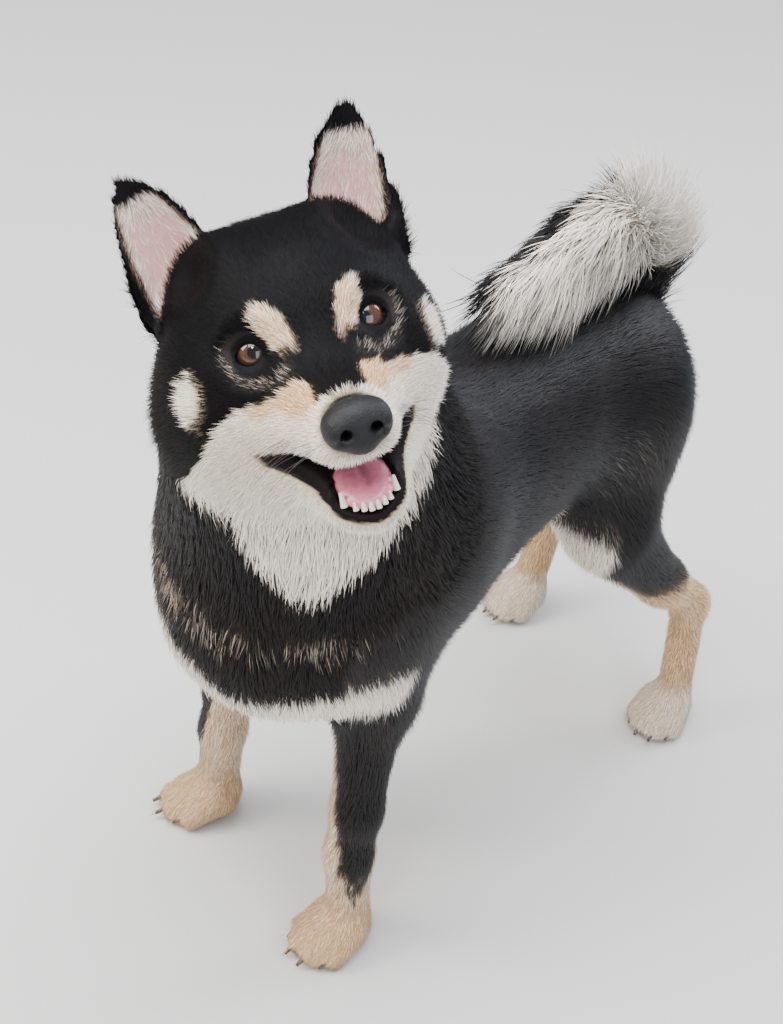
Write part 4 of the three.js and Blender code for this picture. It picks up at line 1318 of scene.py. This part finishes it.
        colour(mesh, "mark", spread(tan), spread(cream), spread(grey))
        # along runs from 0 at the root to 1 at the tip; the coat's material darkens the roots with it as painted
        # shade.
        along = np.tile(np.repeat(np.array([*levels, 1.0]), [3] * len(levels) + [1]), count)
        warm = np.clip(0.28 + 0.3 * ripple(p, 60, 3) + 0.35 * step(440, 330, p[:, 2]) * step(-60, -160, p[:, 1]), 0, 1)
        warm = warm * step(-20, 40, np.linalg.norm(h - np.array([0, 10, 30]), axis=1) - 60)
        colour(mesh, "hair", spread(soft), along, spread(np.clip(warm + rng.uniform(-0.15, 0.15, count), 0, 1)))
        flat = np.repeat(unwrap(p, normal), per, 0)
        patch = rng.uniform(-0.0015, 0.0015, (count * per, 2))
        layer = mesh.uv_layers.new(name="OFBake")
        layer.data.foreach_set("uv", np.clip(flat + patch, 0, 1)[tri.ravel()].astype(np.float32).ravel())
        blended = unit(normals_of(mesh) * 0.45 + np.repeat(normal, per, 0) * 0.75)
        mesh.normals_split_custom_set_from_vertices(blended.astype(np.float32))
        mesh.materials.append(finish)
        thing = bpy.data.objects.new(name, mesh)
        bpy.context.scene.collection.objects.link(thing)
        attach(thing, "root")
        return thing

    def choose(self, share: Array, rng: np.random.Generator) -> Array:
        """Makes a soft marking a choice from hair to hair."""
        return np.clip((share - rng.uniform(0.25, 0.75, len(share))) * 4 + 0.5, 0, 1) * np.clip(share * 1.6, 0, 1)


# The head's own pieces


@dataclass(frozen=True)
class Eye:
    """One eye with its lids: the eyeball's size, and the almond that the lids leave open."""

    side: int
    radius: float = 11.2
    long: float = 22.5
    high: float = 18.5
    slant: float = 20.0
    out: float = 14.0
    up: float = 11.0

    def place(self) -> Matrix:
        """The eye's own frame in the head's: it looks along -Y."""
        turn = Matrix.Rotation(math.radians(self.side * self.out), 4, "Z") @ Matrix.Rotation(math.radians(-self.up), 4, "X")
        slant = Matrix.Rotation(math.radians(-self.side * self.slant), 4, "Y")
        return Matrix.Translation((self.side * POSE.eye_out, 0, 0)) @ turn @ slant

    def inside(self, local: Array, grow: float = 1.0) -> Array:
        """Above 0 inside the almond."""
        x = local[:, 0] / (self.long / 2 * grow)
        z = local[:, 2] / (self.high / 2 * grow)
        return 1 - (x * x + np.abs(z) ** 1.6)

    def rim(self, count: int, radius: float, grow: float) -> list[Vector]:
        """Points round the almond on a ball of a radius, in metres."""
        out = []
        for i in range(count):
            t = i / count * math.tau
            x = math.cos(t) * self.long / 2 * grow
            z = math.copysign(abs(math.sin(t)) ** 1.25, math.sin(t)) * self.high / 2 * grow
            y = -math.sqrt(max(radius**2 - x * x - z * z, 0.1))
            out.append(head_to_frame(self.place() @ Vector((x, y, z))))
        return out

    def build(self) -> None:
        """Makes the eyeball and the lids' dark rims."""
        name = "left" if self.side > 0 else "right"
        centre = head_to_frame((self.side * POSE.eye_out, 0, 0))
        gaze = (Studio().camera_at() - centre).normalized()
        bm = bmesh.new()
        bmesh.ops.create_uvsphere(bm, u_segments=48, v_segments=32, radius=self.radius * MM, matrix=Matrix.Translation(centre))
        ball = piece_of(f"eyeball_{name}", bm, EyeFinish(f"eye_{name}", centre, gaze).material())
        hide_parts(f"eye_{name}")
        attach(ball, "root")
        bm = bmesh.new()
        tube(bm, self.rim(44, self.radius + 0.7, 1.03), lambda t: 0.8 * MM, 8, closed=True)
        finish = WetFinish(f"lid_rim_{name}", "0B0908", "1D1613", 0.7, 0.05, 0.35, 0.5).material()
        rim = piece_of(f"lid_rim_{name}", bm, finish)
        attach(rim, "root")
        LOG.info("%s eye", name)


@dataclass
class Muzzle:
    """The nose leather, lips, teeth, tongue and whiskers."""

    skin: Skin

    def build(self) -> None:
        """Makes each piece of the muzzle."""
        self.nose()
        self.tongue()
        self.lips()
        self.teeth()
        self.whiskers()

    def refine(self, node: str, name: str, voxel: float, rounds: int, finish: Material) -> Thing:
        """Makes a smooth piece from a CAD node and stands it in the node's place."""
        thing = piece_of(name, node_copy(node), finish)
        modified(thing, "REMESH", mode="VOXEL", voxel_size=voxel, use_smooth_shade=True)
        modified(thing, "SMOOTH", factor=0.5, iterations=rounds)
        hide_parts(node)
        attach(thing, "root")
        LOG.info("%s: %d faces", name, len(thing.data.polygons))
        return thing

    def nose(self) -> None:
        """The nose leather: black, pebbled at about 1 mm, moist."""
        finish = WetFinish("nose_leather", "030304", "0A0A0C", 0.9, 0.2, 0.55, 0.02).material()
        self.refine("nose", "nose_leather", 0.0007, 5, finish)

    def tongue(self) -> None:
        """The tongue: pink and wet, with fine buds."""
        finish = WetFinish("tongue", "C85F78", "E58FA0", 0.6, 0.08, 0.4, 0.6).material()
        soft = self.refine("tongue", "tongue_soft", 0.001, 6, finish)
        back = HEAD.to_3x3() @ Vector((0, 0.875, 0.484)) * 2.5 * MM
        for vert in soft.data.vertices:
            vert.co += back

    def edge(self, front: tuple, offset: float, hub_y: float, spread: float, count: int, inset: float) -> list[Vector]:
        """Finds the skin's edge along a jaw's cut, from one mouth corner to the other.

        Args:
            front: y and z of the cut's front end.
            offset: how far from the cut, up being positive, in millimetres.
            hub_y: where the rays start.
            spread: how far they fan to each side, in degrees.
            count: how many points.
            inset: how far inside the skin the line lies, in millimetres.

        Returns:
            Points in metres.
        """
        tree = BVHTree.FromObject(self.skin.thing, bpy.context.evaluated_depsgraph_get())
        dy, dz = front[0] - MOUTH_CORNER[0], front[1] - MOUTH_CORNER[1]
        ahead = Vector((0, dy, dz)).normalized()
        hub = Vector((0, hub_y, MOUTH_CORNER[1] + dz / dy * (hub_y - MOUTH_CORNER[0]) + offset))
        start = head_to_frame(hub)
        out = []
        for i in range(count):
            a = math.radians(-spread + 2 * spread * i / (count - 1))
            way = HEAD.to_3x3() @ (ahead * math.cos(a) + Vector((1, 0, 0)) * math.sin(a))
            hit = tree.ray_cast(start + way * 0.07, -way)
            reach = (hit[0] - start).length if hit[0] else 0.02
            out.append(start + way * max(reach - inset * MM, 0.004))
        first, last = count // 2, count // 2
        while first > 0 and (out[first - 1] - out[first]).length < LIP_STEP:
            first -= 1
        while last < count - 1 and (out[last + 1] - out[last]).length < LIP_STEP:
            last += 1
        return out[first:last + 1]

    def lips(self) -> None:
        """The lower lip's black rim."""
        finish = WetFinish("lip_skin", "0A0808", "231A1B", 1.1, 0.12, 0.34, 0.6).material()
        lower = self.edge(LOWER_FRONT, -1.2, -28, 103, 41, 1.2)
        bm = bmesh.new()
        tube(bm, lower, lambda t: 2.5 * MM * (0.55 + 0.45 * math.sin(math.pi * t) ** 0.5), 10)
        thing = piece_of("lower_lip", bm, finish)
        modified(thing, "SMOOTH", factor=0.5, iterations=4)
        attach(thing, "root")
        LOG.info("lower lip: %d points", len(lower))

    def teeth(self) -> None:
        """The lower incisors and canines."""
        spots = [(s * (1.9 + 3.8 * i), -57.0 + i * i * 0.9, -81.2 + i * 0.8, 3.4, 1.8) for s in (1, -1) for i in range(3)]
        spots += [(s * 14.5, -49.5, -73.5, 7, 2.1) for s in (1, -1)]
        bm = bmesh.new()
        for x, y, z, tall, wide in spots:
            whole = tall + 1.5
            made = bmesh.ops.create_cone(
                bm, cap_ends=True, segments=14, radius1=wide * MM, radius2=wide * 0.45 * MM, depth=whole * MM,
                matrix=Matrix.Translation(head_to_frame((x, y, z - whole / 2))) @ HEAD.to_3x3().to_4x4(),
            )
            edges = [e for e in {e for v in made["verts"] for e in v.link_edges} if len(e.link_faces) == 2]
            top = [e for e in edges if e.calc_face_angle(0) > 0.8]
            bmesh.ops.bevel(bm, geom=top, offset=0.5 * MM, segments=3, profile=0.5, affect="EDGES", material=-1)
        thing = piece_of("teeth", bm, HornFinish("tooth_enamel", "DAD2C0", "F2EDE2", 0.22).material())
        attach(thing, "root")
        LOG.info("teeth: %d", len(spots))

    def whiskers(self) -> None:
        """Long stiff hairs from the muzzle's sides."""
        rng = np.random.default_rng(21)
        bm = bmesh.new()
        for side in (1, -1):
            for i in range(13):
                y, z = rng.uniform(-62, -34), rng.uniform(-50, -38)
                start = Vector((side * (20 + (y + 62) * 0.25), y, z))
                way = Vector((side, rng.uniform(0.2, 0.9), rng.uniform(-0.5, 0.1))).normalized()
                length = rng.uniform(24, 44)
                sag = Vector((0, 0.12, -0.3)) * length
                line = [head_to_frame(start + way * length * t + sag * t * t) for t in np.linspace(-0.05, 1, 7)]
                tube(bm, line, lambda t: (0.17 - 0.13 * t) * MM, 4)
        thing = piece_of("whiskers", bm, HornFinish("whisker", "1A1718", "4A4544", 0.4).material())
        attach(thing, "root")
        LOG.info("whiskers")


@dataclass(frozen=True)
class Paw:
    """One paw's claws."""

    name: str
    turn: float
    size: float

    def build(self) -> None:
        """Makes the four claws, each curved and blunt."""
        x0, y0 = POSE.paws[self.name]
        c, s = math.cos(math.radians(self.turn)), math.sin(math.radians(self.turn))
        bm = bmesh.new()
        for across, ahead, radius in ((-17, -14, 9.5), (-6.4, -24, 10.5), (6.4, -24, 10.5), (17, -14, 9.5)):
            line = []
            for t in np.linspace(0, 1, 9):
                reach = ahead + 3 - t * (radius + 7)
                x, y = across * self.size, reach * self.size
                z = 13 - 8.5 * t**1.6
                line.append(to_frame((x0 + x * c - y * s, y0 + x * s + y * c, z)))
            tube(bm, line, lambda t: (3.1 - 2.0 * t**1.5) * MM, 10, flat=0.85)
        thing = piece_of(f"claws_{self.name}", bm, HornFinish("claw_horn", "2A211C", "6B5646", 0.35).material())
        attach(thing, "root")
        LOG.info("claws of the %s paw", self.name)


# The studio


@dataclass(frozen=True)
class Studio:
    """The camera at the photograph's viewpoint, the floor and the lights."""

    at: tuple = (584.03, -974.40, 1060.14)
    azimuth: float = 33.65
    elevation: float = 35.39
    roll: float = 9.56
    focal: float = 2047.3
    tall: int = 1024

    def camera_at(self) -> Vector:
        """The camera's place in metres."""
        return to_frame(self.at)

    def camera(self) -> None:
        """Sets up the camera."""
        a, e, r = (math.radians(v) for v in (self.azimuth, self.elevation, self.roll))
        back = Vector((math.sin(a) * math.cos(e), -math.cos(a) * math.cos(e), math.sin(e)))
        right = (-back).cross(Vector((0, 0, 1))).normalized()
        up = right.cross(-back)
        x = right * math.cos(r) + up * math.sin(r)
        y = -right * math.sin(r) + up * math.cos(r)
        data = bpy.data.cameras.new("camera")
        data.sensor_width = 36
        data.lens = self.focal / self.tall * 36
        data.clip_end = 20
        thing = bpy.data.objects.new("camera", data)
        thing.matrix_world = Matrix.Translation(self.camera_at()) @ Matrix((x, y, back)).transposed().to_4x4()
        bpy.context.scene.collection.objects.link(thing)
        bpy.context.scene.camera = thing

    def floor(self) -> None:
        """A plain pale floor."""
        bm = bmesh.new()
        bmesh.ops.create_grid(bm, x_segments=4, y_segments=4, size=6)
        r = Recipe("floor_paint")
        r.set(Base_Color=linear("D6D5D1"), Roughness=0.75)
        thing = piece_of("floor", bm, r.material)

    def light(self, name: str, at: tuple, size: float, power: float, tint: str) -> None:
        """Adds a soft square light that faces the dog.

        Args:
            name: the light's name.
            at: its place in metres.
            size: its side in metres.
            power: in watts.
            tint: its colour.
        """
        data = bpy.data.lights.new(name, "AREA")
        data.size = size
        data.energy = power
        data.color = linear(tint)[:3]
        thing = bpy.data.objects.new(name, data)
        way = Vector((0, 0, 0.32)) - Vector(at)
        thing.matrix_world = Matrix.Translation(at) @ way.to_track_quat("-Z", "Y").to_matrix().to_4x4()
        bpy.context.scene.collection.objects.link(thing)

    def build(self) -> None:
        """Sets up everything round the dog."""
        self.camera()
        self.floor()
        self.light("sky", (-0.3, -0.4, 2.4), 2.0, 112, "F6F8FF")
        self.light("window", (-1.3, -1.6, 1.6), 1.2, 58, "FFF8EE")
        self.light("fill", (1.9, -0.8, 1.1), 1.4, 24, "EEF3FF")
        self.light("back", (0.4, 1.9, 1.7), 1.2, 42, "F4F6FF")
        self.light("catch", (0.3, -0.95, 1.55), 0.16, 4, "FFFFFF")
        world = bpy.data.worlds.new("room")
        world.use_nodes = True
        world.node_tree.nodes["Background"].inputs[0].default_value = linear("E4E8EE")
        world.node_tree.nodes["Background"].inputs[1].default_value = 0.6
        bpy.context.scene.world = world
        LOG.info("studio")


def main() -> None:
    """Builds the dog and its surroundings in order."""
    Studio().build()
    skin = Skin()
    skin.build()
    for side in (1, -1):
        Eye(side).build()
    Muzzle(skin).build()
    paws = (("front_left", -10, 1), ("front_right", -38, 1), ("hind_left", 8, 0.94), ("hind_right", -8, 0.94))
    for paw in paws:
        Paw(*paw).build()
    Coat(skin).build()


if __name__ == "__main__":
    main()
